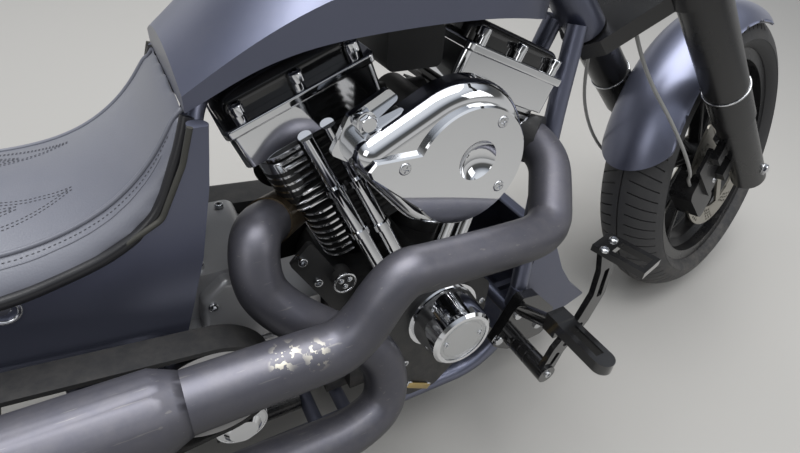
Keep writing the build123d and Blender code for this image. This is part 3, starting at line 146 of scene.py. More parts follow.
def part_of(tree, vector, axis):
    return put(tree, "ShaderNodeSeparateXYZ", {0: vector}).outputs[axis]


def facing_up(tree):
    """How far a surface looks up, from -1 to 1."""
    return part_of(tree, put(tree, "ShaderNodeNewGeometry").outputs["Normal"], "Z")


FLOOR_COLOUR = (0.47, 0.457, 0.432)
# Height from straight down, 0, to straight up, 1
SKY = [(0.0, (0.50, 0.50, 0.50)), (0.5, (0.66, 0.66, 0.655)), (0.585, (0.60, 0.60, 0.60)),
       (0.64, (0.12, 0.12, 0.115)), (0.76, (0.09, 0.095, 0.10)), (0.83, (0.50, 0.53, 0.58)),
       (0.90, (0.90, 0.94, 1.0)), (1.0, (1.0, 1.03, 1.08))]
world = bpy.data.worlds.new("sky")
bpy.context.scene.world = world
world.use_nodes = True
sky = world.node_tree
sky.nodes.clear()
direction = put(sky, "ShaderNodeTexCoord").outputs["Generated"]
height = between(sky, part_of(sky, direction, "Z"), -1, 1)
lit = put(sky, "ShaderNodeBackground", {"Color": ramp(sky, height, SKY), "Strength": 0.85}).outputs[0]
put(sky, "ShaderNodeOutputWorld", {"Surface": lit})

bpy.ops.object.select_all(action="DESELECT")
bpy.ops.mesh.primitive_plane_add(size=16, location=(0.9, 0, 0))
floor = bpy.context.object
floor.name = "floor"
floor_finish = bpy.data.materials.new("floor")
floor_finish.use_nodes = True
floor_shader = floor_finish.node_tree.nodes["Principled BSDF"]
floor_shader.inputs["Base Color"].default_value = (*FLOOR_COLOUR, 1)
floor_shader.inputs["Roughness"].default_value = 0.9
floor.data.materials.append(floor_finish)

# Name, place, aim, size, watts
LAMPS = [("overcast", (0.9, 0.5, 3.2), (0.8, 0, 0.3), 2.6, 84),
         ("front_fill", (2.9, -1.9, 2.2), (1.0, 0, 0.4), 1.4, 12),
         ("rear_fill", (-1.6, -1.4, 2.4), (0.4, 0, 0.4), 1.4, 12)]
for name, place, aim, size, watts in LAMPS:
    lamp = bpy.data.objects.new(name, bpy.data.lights.new(name, "AREA"))
    bpy.context.scene.collection.objects.link(lamp)
    lamp.location = place
    lamp.rotation_euler = (Vector(aim) - Vector(place)).to_track_quat("-Z", "Y").to_euler()
    lamp.data.size = size
    lamp.data.energy = watts
bpy.context.scene.view_settings.view_transform = "Standard"
print("lamps:", len(LAMPS))

# %% [markdown]
# Finishes share a few effects: a slow drift between two shades, a fine grain, wiped-on road dust
# and hairline scratches. Each effect is a node group with its own sockets, so that a finish can
# ask for more or less of it. All of them read the object's own coordinates, in metres.

# %% Effects that the finishes share
VALUE, COLOUR, VECTOR = "NodeSocketFloat", "NodeSocketColor", "NodeSocketVector"


def effect(name, inputs, outputs):
    """A new node group, its input sockets and its output sockets."""
    tree = bpy.data.node_groups.new(name, "ShaderNodeTree")
    for title, (kind, default) in inputs.items():
        tree.interface.new_socket(name=title, in_out="INPUT", socket_type=kind).default_value = default
    for title, kind in outputs.items():
        tree.interface.new_socket(name=title, in_out="OUTPUT", socket_type=kind)
    return tree, tree.nodes.new("NodeGroupInput").outputs, tree.nodes.new("NodeGroupOutput").inputs


# Drift: one shade wanders into another, as uneven polish or paint does.
drift, given, out = effect("drift", {"First": (COLOUR, (0, 0, 0, 1)), "Second": (COLOUR, (1, 1, 1, 1)),
                                     "Scale": (VALUE, 5.0)}, {"Color": COLOUR, "Mask": VALUE})
clouds = put(drift, "ShaderNodeTexNoise", {"Vector": object_place(drift), "Scale": given["Scale"], "Detail": 4.0})
drift.links.new(clouds.outputs[0], out["Mask"])
drift.links.new(blended(drift, clouds.outputs[0], given["First"], given["Second"]), out["Color"])

# Grain: a fine bumpy height, from a noise and a cell pattern.
grain, given, out = effect("grain", {"Scale": (VALUE, 400.0), "Cells": (VALUE, 0.5)}, {"Height": VALUE})
fine = put(grain, "ShaderNodeTexNoise", {"Vector": object_place(grain), "Scale": given["Scale"], "Detail": 3.0})
cells = put(grain, "ShaderNodeTexVoronoi", {"Vector": object_place(grain), "Scale": given["Scale"]},
            feature="SMOOTH_F1")
mixed = put(grain, "ShaderNodeMix", {"Factor": given["Cells"], 2: fine.outputs[0], 3: cells.outputs["Distance"]})
grain.links.new(mixed.outputs[0], out["Height"])

# Dust: settles on what faces up, and splashes what is near the floor.
DUST_COLOUR, DUST_ROUGHNESS = (0.33, 0.30, 0.26, 1), 0.9
dust, given, out = effect("dust", {"Color": (COLOUR, (0.5, 0.5, 0.5, 1)), "Roughness": (VALUE, 0.4),
                                   "Amount": (VALUE, 0.3), "Reach": (VALUE, 0.35)},
                          {"Color": COLOUR, "Roughness": VALUE})
place = object_place(dust)
low = between(dust, part_of(dust, place, "Z"), given["Reach"], 0.0)
settled = maths(dust, "MULTIPLY", maths(dust, "MAXIMUM", facing_up(dust), 0.0), 0.35)
patches = put(dust, "ShaderNodeTexNoise", {"Vector": place, "Scale": 38.0, "Detail": 6.0, "Roughness": 0.7})
patchy = between(dust, patches.outputs[0], 0.4, 0.75)
mask = maths(dust, "MULTIPLY", maths(dust, "ADD", low, settled), patchy)
mask = maths(dust, "MULTIPLY", mask, given["Amount"], clamp=True)
dust.links.new(blended(dust, mask, given["Color"], DUST_COLOUR), out["Color"])
rougher = put(dust, "ShaderNodeMix", {0: mask, 2: given["Roughness"], 3: DUST_ROUGHNESS})
dust.links.new(rougher.outputs[0], out["Roughness"])

# Hairlines: long thin wiping marks, as a roughness and a height.
hairlines, given, out = effect("hairlines", {"Scale": (VALUE, 60.0), "Stretch": (VALUE, 0.04)}, {"Mask": VALUE})
squeeze = put(hairlines, "ShaderNodeCombineXYZ", {0: given["Stretch"], 1: 1.0, 2: 1.0}).outputs[0]
stretched = put(hairlines, "ShaderNodeVectorMath", {0: object_place(hairlines), 1: squeeze}, operation="MULTIPLY")
marks = put(hairlines, "ShaderNodeTexNoise", {"Vector": stretched.outputs[0], "Scale": given["Scale"], "Detail": 8.0})
hairlines.links.new(marks.outputs[0], out["Mask"])
print("effects:", [g.name for g in bpy.data.node_groups])

# %% [markdown]
# A finish is one Principled shader fed by those effects. The shader stays in the material, where
# an export can read it, and a value that is the same all over is set on its own socket.

# %% Building a finish
def placed(tree, group, values=None):
    """An effect in a tree, by its outputs."""
    return put(tree, "ShaderNodeGroup", values, node_tree=group).outputs


def finish(name, first, second, roughness, metallic=0.0, drift_scale=6.0, grain_scale=420.0, cells=0.5,
           bump=0.1, bump_depth=0.0004, dusty=0.25, reach=0.35, roughness_swing=0.1, sockets=None, slot=None):
    """A material from the shared effects. Extra shader sockets go in by name."""
    material = bpy.data.materials.new(name)
    material["slot"] = slot or name
    material.use_nodes = True
    tree = material.node_tree
    shader = tree.nodes["Principled BSDF"]
    shade = placed(tree, drift, {"First": (*first, 1), "Second": (*second, 1), "Scale": drift_scale})
    swing = between(tree, shade["Mask"], 0.3, 0.7, **{"To Min": roughness - roughness_swing / 2,
                                                      "To Max": roughness + roughness_swing / 2})
    dusted = placed(tree, dust, {"Color": shade["Color"], "Roughness": swing, "Amount": dusty, "Reach": reach})
    tree.links.new(dusted["Color"], shader.inputs["Base Color"])
    tree.links.new(dusted["Roughness"], shader.inputs["Roughness"])
    height = placed(tree, grain, {"Scale": grain_scale, "Cells": cells})["Height"]
    relief = put(tree, "ShaderNodeBump", {"Height": height, "Strength": bump, "Distance": bump_depth})
    tree.links.new(relief.outputs[0], shader.inputs["Normal"])
    shader.inputs["Metallic"].default_value = metallic
    for key, value in (sockets or {}).items():
        shader.inputs[key].default_value = value
    return material


# %% [markdown]
# Satin body paint is a dark blue-grey with a soft sheen: the colour under a thin, slightly rough
# clear coat. The frame and bodywork wear the same paint. Chrome is a mirror whose roughness drifts a
# little; cast parts are black with a wrinkle.

# %% The finishes
paint = finish("body_paint", (0.120, 0.128, 0.178), (0.138, 0.148, 0.202), 0.34, metallic=0.75, grain_scale=900,
               bump=0.03, bump_depth=0.0001, dusty=0.12, roughness_swing=0.05,
               sockets={"Coat Weight": 0.2, "Coat Roughness": 0.25})
chrome = finish("chrome", (0.80, 0.81, 0.83), (0.74, 0.75, 0.77), 0.05, metallic=1.0, grain_scale=60, bump=0.01,
                dusty=0.10, roughness_swing=0.04)
casting = finish("black_casting", (0.016, 0.016, 0.017), (0.024, 0.024, 0.025), 0.42, grain_scale=900, cells=0.8,
                 bump=0.35, dusty=0.3)
gloss_black = finish("gloss_black", (0.010, 0.010, 0.011), (0.013, 0.013, 0.014), 0.14, grain_scale=300, bump=0.02,
                     dusty=0.15, roughness_swing=0.06, sockets={"Coat Weight": 0.8, "Coat Roughness": 0.05},
                     slot="black_casting")
satin_black = finish("satin_black", (0.010, 0.010, 0.011), (0.014, 0.014, 0.015), 0.27, grain_scale=1200,
                     bump=0.05, dusty=0.08, sockets={"Specular IOR Level": 0.5})
gloss_trim = finish("gloss_trim", (0.008, 0.008, 0.009), (0.012, 0.012, 0.013), 0.16, grain_scale=300, bump=0.02,
                    dusty=0.05, roughness_swing=0.06, sockets={"Coat Weight": 0.8, "Coat Roughness": 0.06},
                    slot="satin_black")
polished = finish("polished_alloy", (0.70, 0.71, 0.73), (0.62, 0.63, 0.65), 0.16, metallic=1.0, grain_scale=200,
                  bump=0.03, dusty=0.25)
brushed = finish("brushed_alloy", (0.60, 0.61, 0.62), (0.52, 0.53, 0.54), 0.34, metallic=1.0, grain_scale=700,
                 bump=0.1, dusty=0.2)
silver = finish("silver", (0.56, 0.56, 0.57), (0.48, 0.48, 0.49), 0.32, metallic=0.45, grain_scale=500, bump=0.08,
                slot="polished_alloy")
steel = finish("steel", (0.50, 0.50, 0.51), (0.40, 0.40, 0.41), 0.3, metallic=1.0, grain_scale=500, bump=0.08)
disc_steel = finish("disc_steel", (0.42, 0.40, 0.35), (0.34, 0.325, 0.285), 0.34, metallic=1.0, grain_scale=700,
                    bump=0.12, dusty=0.5, slot="steel")
heat_tint = finish("heat_tint", (0.16, 0.115, 0.062), (0.10, 0.078, 0.055), 0.42, metallic=0.8, drift_scale=30,
                   grain_scale=700, bump=0.1, slot="exhaust_black")
brass = finish("brass", (0.62, 0.47, 0.20), (0.5, 0.37, 0.16), 0.3, metallic=1.0, grain_scale=300, bump=0.05,
               slot="polished_alloy")
tyre_rubber = finish("tyre_rubber", (0.028, 0.028, 0.030), (0.040, 0.040, 0.042), 0.62, grain_scale=1500,
                     bump=0.25, dusty=0.35, reach=0.25)
rubber = finish("rubber", (0.018, 0.018, 0.019), (0.026, 0.026, 0.027), 0.6, grain_scale=900, bump=0.15)
hose_skin = finish("hose_skin", (0.30, 0.30, 0.29), (0.36, 0.36, 0.35), 0.4, grain_scale=1400, bump=0.2, dusty=0.1,
                   slot="rubber")
leather = finish("seat_leather", (0.135, 0.140, 0.170), (0.165, 0.172, 0.205), 0.42, drift_scale=7, grain_scale=620,
                 cells=0.9, bump=0.22, bump_depth=0.0005, dusty=0.1,
                 sockets={"Specular IOR Level": 0.8, "Sheen Weight": 0.2, "Sheen Roughness": 0.4})
red_lens = finish("red_lens", (0.35, 0.006, 0.006), (0.28, 0.004, 0.004), 0.12, grain_scale=120, bump=0.1,
                  sockets={"Coat Weight": 0.6})
lens = finish("clear_lens", (0.85, 0.88, 0.9), (0.9, 0.92, 0.93), 0.06, grain_scale=90, bump=0.1, dusty=0.0,
              roughness_swing=0.02, sockets={"Transmission Weight": 0.85, "IOR": 1.45})

# %% [markdown]
# The cylinders are black, but the rim of every fin is milled bright. The rim is a place, not a
# colour on a map: a Mapping node turns the object's coordinates into the bore's own, and the band
# next to the fins' rounded outline is metal. Two cylinders lean two ways, so there are two finishes.

# %% Fins with milled rims
FIN_CORNER, FIN_SIDE, CYLINDER_REACH, HEAD_REACH = 0.028, 0.066, 0.066, 0.079
# Up the bore: the lowest fin, where the head starts, and where its closed top band starts
FINS_FROM, HEAD_FROM, TOP_FROM = 0.150, 0.252, 0.3215
FIN_HEIGHT = 0.0034
# On their vee side, past this far from the bore's axis, the fins are cut square and stay black
VEE_CUT = 0.052
MILLED_COLOUR, MILLED_ROUGHNESS = (0.72, 0.73, 0.75, 1), 0.2
# First fin and distance to the next
CYLINDER_ROWS, HEAD_ROWS = (0.156, 0.012), (0.257, 0.011)
fin_rims, given, out = effect("fin_rims", {"Place": (VECTOR, (0, 0, 0))}, {"Mask": VALUE})


def fin(operation, first, second=0.0):
    return maths(fin_rims, operation, first, second)


u_axis, y_axis, v_axis = put(fin_rims, "ShaderNodeSeparateXYZ", {0: given["Place"]}).outputs
reach = between(fin_rims, fin("GREATER_THAN", v_axis, 0.2505), 0.0, 1.0,
                **{"To Min": CYLINDER_REACH, "To Max": HEAD_REACH})
over_u = fin("MAXIMUM", fin("SUBTRACT", fin("ABSOLUTE", u_axis), fin("SUBTRACT", reach, FIN_CORNER)))
over_y = fin("MAXIMUM", fin("SUBTRACT", fin("ABSOLUTE", y_axis), FIN_SIDE - FIN_CORNER))
outline = fin("SQRT", fin("ADD", fin("POWER", over_u, 2.0), fin("POWER", over_y, 2.0)))
edge_band = between(fin_rims, outline, FIN_CORNER - 0.0014, FIN_CORNER - 0.0007)
finned = fin("MULTIPLY", fin("GREATER_THAN", v_axis, FINS_FROM), fin("LESS_THAN", outline, FIN_CORNER + 0.0012))
lower_rows, upper_rows = [fin("LESS_THAN", fin("FLOORED_MODULO", fin("SUBTRACT", v_axis, start), pitch), FIN_HEIGHT)
                          for start, pitch in (CYLINDER_ROWS, HEAD_ROWS)]
on_head = fin("GREATER_THAN", v_axis, HEAD_FROM)
head_rows = fin("MAXIMUM", upper_rows, fin("GREATER_THAN", v_axis, TOP_FROM))
rows = fin("ADD", fin("MULTIPLY", lower_rows, fin("SUBTRACT", 1.0, on_head)),
           fin("MULTIPLY", on_head, head_rows))
fin_rims.links.new(fin("MULTIPLY", edge_band, fin("MULTIPLY", finned, rows)), out["Mask"])
ENGINE_CENTRE = Vector((0.870, 0, 0.270))


def bore(side):
    """The plane of a cylinder: u along the machine, y to its left, v up the bore."""
    return STANCE @ Matrix.Translation(ENGINE_CENTRE) @ Matrix.Rotation(math.radians(22.5) * side, 4, "Y")


def milled(name, side):
    """The casting's finish, with bright metal where the mask of the rims is."""
    material = finish(name, (0.016, 0.016, 0.017), (0.024, 0.024, 0.025), 0.42, grain_scale=900, cells=0.8,
                      bump=0.25, dusty=0.25, slot="black_casting")
    tree = material.node_tree
    shader = tree.nodes["Principled BSDF"]
    plane = bore(side)
    place = put(tree, "ShaderNodeMapping", {"Vector": object_place(tree), "Location": plane.translation,
                                            "Rotation": plane.to_euler()}, vector_type="TEXTURE").outputs[0]
    outward = maths(tree, "LESS_THAN", maths(tree, "MULTIPLY", part_of(tree, place, "X"), -side), VEE_CUT)
    mask = maths(tree, "MULTIPLY", placed(tree, fin_rims, {"Place": place})["Mask"], outward)
    colour = shader.inputs["Base Color"].links[0].from_socket
    rough = shader.inputs["Roughness"].links[0].from_socket
    tree.links.new(blended(tree, mask, colour, MILLED_COLOUR), shader.inputs["Base Color"])
    bright = put(tree, "ShaderNodeMix", {0: mask, 2: rough, 3: MILLED_ROUGHNESS}).outputs[0]
    tree.links.new(bright, shader.inputs["Roughness"])
    tree.links.new(mask, shader.inputs["Metallic"])
    return material


rear_fins = milled("rear_fins", -1)
front_fins = milled("front_fins", 1)

# %% [markdown]
# The exhaust wears a black ceramic coat with a soft metal sheen. Heat and years have left it
# slightly warm and slightly grey in places, chipped in a few, and scuffed with fine marks. Light and
# shade are painted into its colour as well: lighter on top, darker underneath.

# %% The exhaust's coat
heat_paint = finish("exhaust_black", (0.052, 0.052, 0.062), (0.068, 0.067, 0.080), 0.43, metallic=0.6,
                    drift_scale=4, grain_scale=1500, bump=0.08, bump_depth=0.0001, dusty=0.2,
                    roughness_swing=0.12, sockets={"Specular IOR Level": 0.6})
# Middle of a worn patch on the upright machine, and its reach
CHIPS = [((629, -244, 453), 14), ((621, -252, 446), 10), ((657, -252, 444), 13)]
CHIP_COLOUR = (0.25, 0.235, 0.20, 1)
tree = heat_paint.node_tree
shader = tree.nodes["Principled BSDF"]
place = object_place(tree)
flakes = put(tree, "ShaderNodeTexNoise", {"Vector": place, "Scale": 120.0, "Detail": 3.0}).outputs[0]
flaked = between(tree, flakes, 0.545, 0.56)
worn = None
for middle, size in CHIPS:
    where = STANCE @ (Vector(middle) * MM)
    gap = put(tree, "ShaderNodeVectorMath", {0: place, 1: where}, operation="DISTANCE").outputs["Value"]
    near = between(tree, gap, size * MM * 1.4, size * MM * 0.4)
    worn = near if worn is None else maths(tree, "MAXIMUM", worn, near)
chipped = maths(tree, "MULTIPLY", worn, flaked)
wiped = placed(tree, hairlines, {"Scale": 300.0, "Stretch": 0.06})["Mask"]
streaks = between(tree, wiped, 0.66, 0.70, **{"To Max": 0.35})
marks = maths(tree, "MAXIMUM", chipped, maths(tree, "MULTIPLY", streaks, 0.5))
coat_colour = shader.inputs["Base Color"].links[0].from_socket
tree.links.new(blended(tree, marks, coat_colour, CHIP_COLOUR), shader.inputs["Base Color"])


# Painted light and shade: faces that look down get a darker colour and faces that look up get a lighter one, as
# overhead light would make them.
def painted_light_and_shade(material, below, above):
    """Multiplies a finish's colour to paint in light and shade: less where the surface looks down, more where it
    looks up.
    """
    tree = material.node_tree
    shader = tree.nodes["Principled BSDF"]
    share = between(tree, facing_up(tree), -0.3, 0.95, **{"To Min": below, "To Max": above})
    scaled = put(tree, "ShaderNodeVectorMath", {0: shader.inputs["Base Color"].links[0].from_socket},
                 operation="SCALE")
    tree.links.new(share, scaled.inputs["Scale"])
    tree.links.new(scaled.outputs[0], shader.inputs["Base Color"])


# Painted shade underneath and a painted highlight on top of the exhaust's coat.
painted_light_and_shade(heat_paint, 0.35, 2.5)
# Painted shade underneath and a painted highlight on top of the body paint.
painted_light_and_shade(paint, 0.55, 1.85)
print("finishes:", len(bpy.data.materials))

# %% [markdown]
# Each hard part gets its finish in its own material slot. The lists follow the machine from the
# frame outwards.

# %% Who wears what
WEARS = [
    (paint, "frame_backbone frame_downtubes frame_rails frame_rear fuel_tank cowl rear_fender front_fender "
            "chin_spoiler"),
    (satin_black, "swingarm triple_trees fork_legs handlebar hand_controls headlamp front_calipers rear_caliper "
                  "front_rim rear_rim rear_pulley side_stand rear_shocks"),
    (gloss_trim, "controls_right controls_left"),
    (casting, "crankcase intake primary_cover"),
    (gloss_black, "rocker_covers"),
    (rear_fins, "cylinder_rear"),
    (front_fins, "cylinder_front"),
    (chrome, "rocker_boxes pushrod_tubes timer_cover air_cleaner oil_filter"),
    (silver, "gearbox"),
    (steel, "front_pulley front_axle rear_axle"),
    (disc_steel, "front_discs rear_disc"),
    (heat_paint, "exhaust_front exhaust_rear"),
    (tyre_rubber, "front_tyre rear_tyre"),
    (rubber, "drive_belt coil"),
    (hose_skin, "brake_hoses"),
    (leather, "seat"),
    (red_lens, "tail_lamp"),
    (lens, "headlamp_glass"),
]
for material, wearers in WEARS:
    for wearer in wearers.split():
        nodes[wearer].data.materials.clear()
        nodes[wearer].data.materials.append(material)
bare = [name for name, node in nodes.items() if not any(name in w.split() for _, w in WEARS)]
print("without a finish:", bare)

# %% [markdown]
# Every small or soft piece is modelled on its own, near the origin, and then carried to its place.
# A few helpers keep that short: one adds a primitive with nothing else selected, one selects the
# faces or edges that pass a test, one applies a modifier, and one gives the finished mesh its place,
# its finish and the body that it rides on. The object itself stays at the origin.

# %% Helpers for modelling
def fresh(kind, name, **settings):
    """Adds a primitive with nothing else selected, and names it."""
    bpy.ops.object.select_all(action="DESELECT")
    getattr(bpy.ops.mesh, f"primitive_{kind}_add")(**settings)
    bpy.context.object.name = name
    return bpy.context.object


def edit(piece):
    bpy.ops.object.select_all(action="DESELECT")
    piece.select_set(True)
    bpy.context.view_layer.objects.active = piece
    bpy.ops.object.mode_set(mode="EDIT")


def done():
    bpy.ops.object.mode_set(mode="OBJECT")


def select_only(piece, kind, wanted):
    """In edit mode, selects only the faces or edges that pass a test."""
    bpy.ops.mesh.select_mode(type=kind)
    bpy.ops.mesh.select_all(action="DESELECT")
    work = bmesh.from_edit_mesh(piece.data)
    for element in work.faces if kind == "FACE" else work.edges:
        element.select_set(bool(wanted(element)))
    bmesh.update_edit_mesh(piece.data)


def select_faces(piece, wanted):
    select_only(piece, "FACE", wanted)


def tidied(piece, distance=0.00002):
    """Merges doubles and turns the faces outwards."""
    edit(piece)
    bpy.ops.mesh.select_all(action="SELECT")
    bpy.ops.mesh.remove_doubles(threshold=distance)
    bpy.ops.mesh.normals_make_consistent(inside=False)
    done()
    return piece


def node_copy(name):
    """A hard part's own mesh, copied and merged into one skin that can be cut."""
    piece = nodes[name].copy()
    piece.data = nodes[name].data.copy()
    piece.parent = None
    bpy.context.scene.collection.objects.link(piece)
    return tidied(piece)


def modified(piece, kind, **settings):
    """Adds a modifier and applies it."""
    modifier = piece.modifiers.new(kind.lower(), kind)
    for key, value in settings.items():
        setattr(modifier, key, value)
    bpy.context.view_layer.objects.active = piece
    bpy.ops.object.modifier_apply(modifier=modifier.name)
    return piece


def cut(piece, cutter):
    """Takes the cutter's shape out of a piece."""
    modified(piece, "BOOLEAN", operation="DIFFERENCE", solver="EXACT", object=cutter)
    bpy.data.objects.remove(cutter)
    return piece


def joined(pieces, name):
    bpy.ops.object.select_all(action="DESELECT")
    for piece in pieces:
        piece.select_set(True)
    bpy.context.view_layer.objects.active = pieces[0]
    if len(pieces) > 1:
        bpy.ops.object.join()
    pieces[0].name = name
    return pieces[0]


def finished(piece, name, material, body="root", place=None, angle=35):
    """Gives a mesh its place, its finish and the body it rides on."""
    piece.data.transform((place or Matrix()) @ piece.matrix_basis)
    piece.matrix_basis = Matrix()
    piece.name = name
    piece.data.name = name
    piece.data.materials.clear()
    piece.data.materials.append(material)
    bpy.ops.object.select_all(action="DESELECT")
    piece.select_set(True)
    bpy.context.view_layer.objects.active = piece
    if piece.type == "MESH":
        bpy.ops.object.shade_smooth_by_angle(angle=math.radians(angle))
    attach(piece, body)
    return piece


def copies(pattern, places, name, material, body="root", angle=35):
    """Copies a modelled pattern to each place, and joins the copies into one piece."""
    made = []
    for place in places:
        copy = pattern.copy()
        copy.data = pattern.data.copy()
        copy.data.transform(place)
        bpy.context.scene.collection.objects.link(copy)
        made.append(copy)
    piece = joined(made, name)
    return finished(piece, name, material, body, angle=angle)


def spot(x, y, z, out=(0, -1, 0), spin=0.0, base=STANCE):
    """A place in millimetres on the upright machine, whose own z axis points out of the surface."""
    aim = Vector(out).to_track_quat("Z", "Y").to_matrix().to_4x4()
    return base @ Matrix.Translation(Vector((x, y, z)) * MM) @ aim @ Matrix.Rotation(math.radians(spin), 4, "Z")


UPRIGHT_FRONT = TURNED @ FORK.inverted()
FRONT_WHEEL = UPRIGHT_FRONT @ Matrix.Translation(FRONT_AXLE)
REAR_WHEEL = STANCE @ Matrix.Translation((0, 0, REAR_TYRE_R))
print("front hub:", [round(v, 3) for v in FRONT_WHEEL.translation])

# %% [markdown]
# A tyre is a cross-section spun round its axle. Its tread is cut into the real surface, because
# grooves that are only painted look flat from the side. The spun grid is first twisted, so that its
# rows of faces lean as the grooves do, and then the faces of each groove are inset and pushed in.

# %% The tyres
# The bead's radius, columns of faces in one pitch of the tread, a groove's depth and its wall
BEAD_R, COLUMNS, GROOVE, GROOVE_WALL = 0.243, 6, 0.004, 0.0005
# The power by which the twist grows towards the shoulder
LEAN_POWER = 1.3


def crown_points(radius, crown, half, rim_half, spans):
    """The outline from the middle of the tread to the bead, as (y, radius) pairs."""
    shoulder = math.asin(min(half / crown, 0.96))
    outline = [(crown * math.sin(a), radius - crown + crown * math.cos(a))
               for a in [shoulder * s for s in spans]]
    (y0, r0), (y1, r1) = outline[-1], (rim_half + 0.001, BEAD_R)
    belly = half + 0.001
    for share in (0.12, 0.3, 0.34, 0.38, 0.5, 0.7, 0.86, 0.94, 1.0):
        bulge = 4 * share * (1 - share)
        y = y0 + (y1 - y0) * share
        y += bulge * (belly - (y0 + y1) / 2)
        y += 0.0012 if share == 0.34 else 0.0
        outline.append((y, r0 + (r1 - r0) * share))
    return outline + [(rim_half - 0.006, 0.2435), (rim_half - 0.006, 0.2295)]


def tyre(name, place, body, radius, width, crown, rim_width, pitches, lean):
    spans = (0.0, 0.025, 0.16, 0.34, 0.5, 0.66, 0.8, 0.9, 0.96, 1.0)
    side = crown_points(radius, crown, width / 2, rim_width / 2, spans)
    outline = [(-y, r) for y, r in reversed(side[1:])] + side
    piece = fresh("circle", name, vertices=len(outline), radius=0.1)
    for vertex, (y, r) in zip(piece.data.vertices, outline):
        vertex.co = (r, y, 0)
    steps = pitches * COLUMNS
    edit(piece)
    bpy.ops.mesh.select_all(action="SELECT")
    bpy.ops.mesh.spin(steps=steps, angle=2 * math.pi, center=(0, 0, 0), axis=(0, 1, 0))
    done()
    tidied(piece)
    half = crown * math.asin(min(width / 2 / crown, 0.96))

    def across_tread(y, r):
        """How far from the middle of the tread a point is, from 0 to 1 at the shoulder."""
        return min(crown * math.atan2(abs(y), r - radius + crown) / half, 1.0) if r > BEAD_R else 1.0

    for vertex in piece.data.vertices:
        r = math.hypot(vertex.co.x, vertex.co.z)
        angle = math.atan2(vertex.co.z, vertex.co.x) + lean * across_tread(vertex.co.y, r) ** LEAN_POWER
        vertex.co.x, vertex.co.z = r * math.cos(angle), r * math.sin(angle)
    edit(piece)

    def in_groove(face):
        middle = face.calc_center_median()
        r = math.hypot(middle.x, middle.z)
        across = across_tread(middle.y, r)
        if across < 0.02:
            return True
        angle = math.atan2(middle.z, middle.x) - lean * across ** LEAN_POWER
        column = int(math.floor(angle / (2 * math.pi) * steps + 0.25)) % COLUMNS
        return 0.2 < across < 0.88 and r > radius - 0.05 and column == (0 if middle.y > 0 else COLUMNS // 2)

    select_faces(piece, in_groove)
    bpy.ops.mesh.inset(thickness=GROOVE_WALL)
    bpy.ops.mesh.extrude_region_shrink_fatten(TRANSFORM_OT_shrink_fatten={"value": -GROOVE})
    done()
    print(name, len(piece.data.polygons), "faces")
    return finished(piece, name, tyre_rubber, body, place, angle=30)


# Radius, width, crown's radius, rim's width, pitches of the tread, twist
front_tread = tyre("front_tread", FRONT_WHEEL, "front_wheel", FRONT_TYRE_R, 0.130, 0.068, 0.100, 80, 0.10)
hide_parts("front_tyre")
rear_tread = tyre("rear_tread", REAR_WHEEL, "rear_wheel", REAR_TYRE_R, 0.250, 0.150, 0.222, 56, 0.22)
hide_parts("rear_tyre")

# %% [markdown]
# A brake disc is drilled so that it sheds heat and water. The plain disc is already right, so a
# copy of it is merged into one skin, and rods are cut out of it in groups that lean with the spin.

# %% The drilled discs
def drilled(name, node, place, body, radii, groups, first):
    piece = node_copy(node)
    rods = []
    for group in range(groups):
        for row, radius in enumerate(radii):
            for step in range(3):
                angle = 2 * math.pi * group / groups + math.radians(first + row * 3.4 + step * 5.0)
                rods.append(spot(1000 * radius * math.cos(angle), 0, 1000 * radius * math.sin(angle), base=place))
    pin = fresh("cylinder", "drill", vertices=10, radius=0.0032, depth=0.4)
    pins = copies(pin, rods, name + "_drill", steel)
    cut(piece, pins)
    bpy.data.objects.remove(pin)
    finished(piece, name, disc_steel, body, angle=30)
    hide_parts(node)
    print(name, len(piece.data.polygons), "faces")


drilled("drilled_front_discs", "front_discs", FRONT_WHEEL, "front_wheel", (0.118, 0.126, 0.134, 0.142), 10, 4)
drilled("drilled_rear_disc", "rear_disc", REAR_WHEEL, "rear_wheel", (0.114, 0.122, 0.130, 0.138), 10, 4)

# %% [markdown]
# The front pipe is one tube that leaves its port, turns down and back round the air cleaner,
# crosses in front of the rear pipe and widens a little towards its muffler. Such a pipe is bent on
# mandrels, so its line has no kinks: a smooth curve with a round section, whose points each carry
# their own radius. The muffler can is already right, so a copy of it is kept and only the old
# pipe is taken away.

# %% The front pipe
def tube_piece(name, points, radius, material, body="root", radii=None, fine=4):
    """A round tube along a smooth line through the machine, as a mesh."""
    line = bpy.data.curves.new(name, "CURVE")
    line.dimensions = "3D"
    line.bevel_depth = radius
    line.bevel_resolution = fine
    line.use_fill_caps = True
    spline = line.splines.new("NURBS")
    spline.points.add(len(points) - 1)
    for number, (knot, point) in enumerate(zip(spline.points, points)):
        knot.co = (*point, 1)
        knot.radius = radii[number] / (radius / MM) if radii else 1.0
    spline.order_u = 3
    spline.use_endpoint_u = True
    spline.resolution_u = 12 if radii else 4
    piece = bpy.data.objects.new(name, line)
    bpy.context.scene.collection.objects.link(piece)
    bpy.ops.object.select_all(action="DESELECT")
    piece.select_set(True)
    bpy.context.view_layer.objects.active = piece
    bpy.ops.object.convert(target="MESH")
    return finished(bpy.context.object, name, material, body, angle=60)


UPRIGHT = STANCE.inverted()
# Where both muffler cans start, ahead of the rear axle
CAN_FRONT = 0.5312


def muffler_can(name, node):
    """Keeps the can of a CAD exhaust beside the new pipe that replaces the rest."""
    piece = node_copy(node)
    edit(piece)
    select_faces(piece, lambda face: (UPRIGHT @ face.calc_center_median()).x > CAN_FRONT)
    bpy.ops.mesh.delete(type="FACE")
    done()
    finished(piece, name, heat_paint, angle=30)
    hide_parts(node)
    return piece


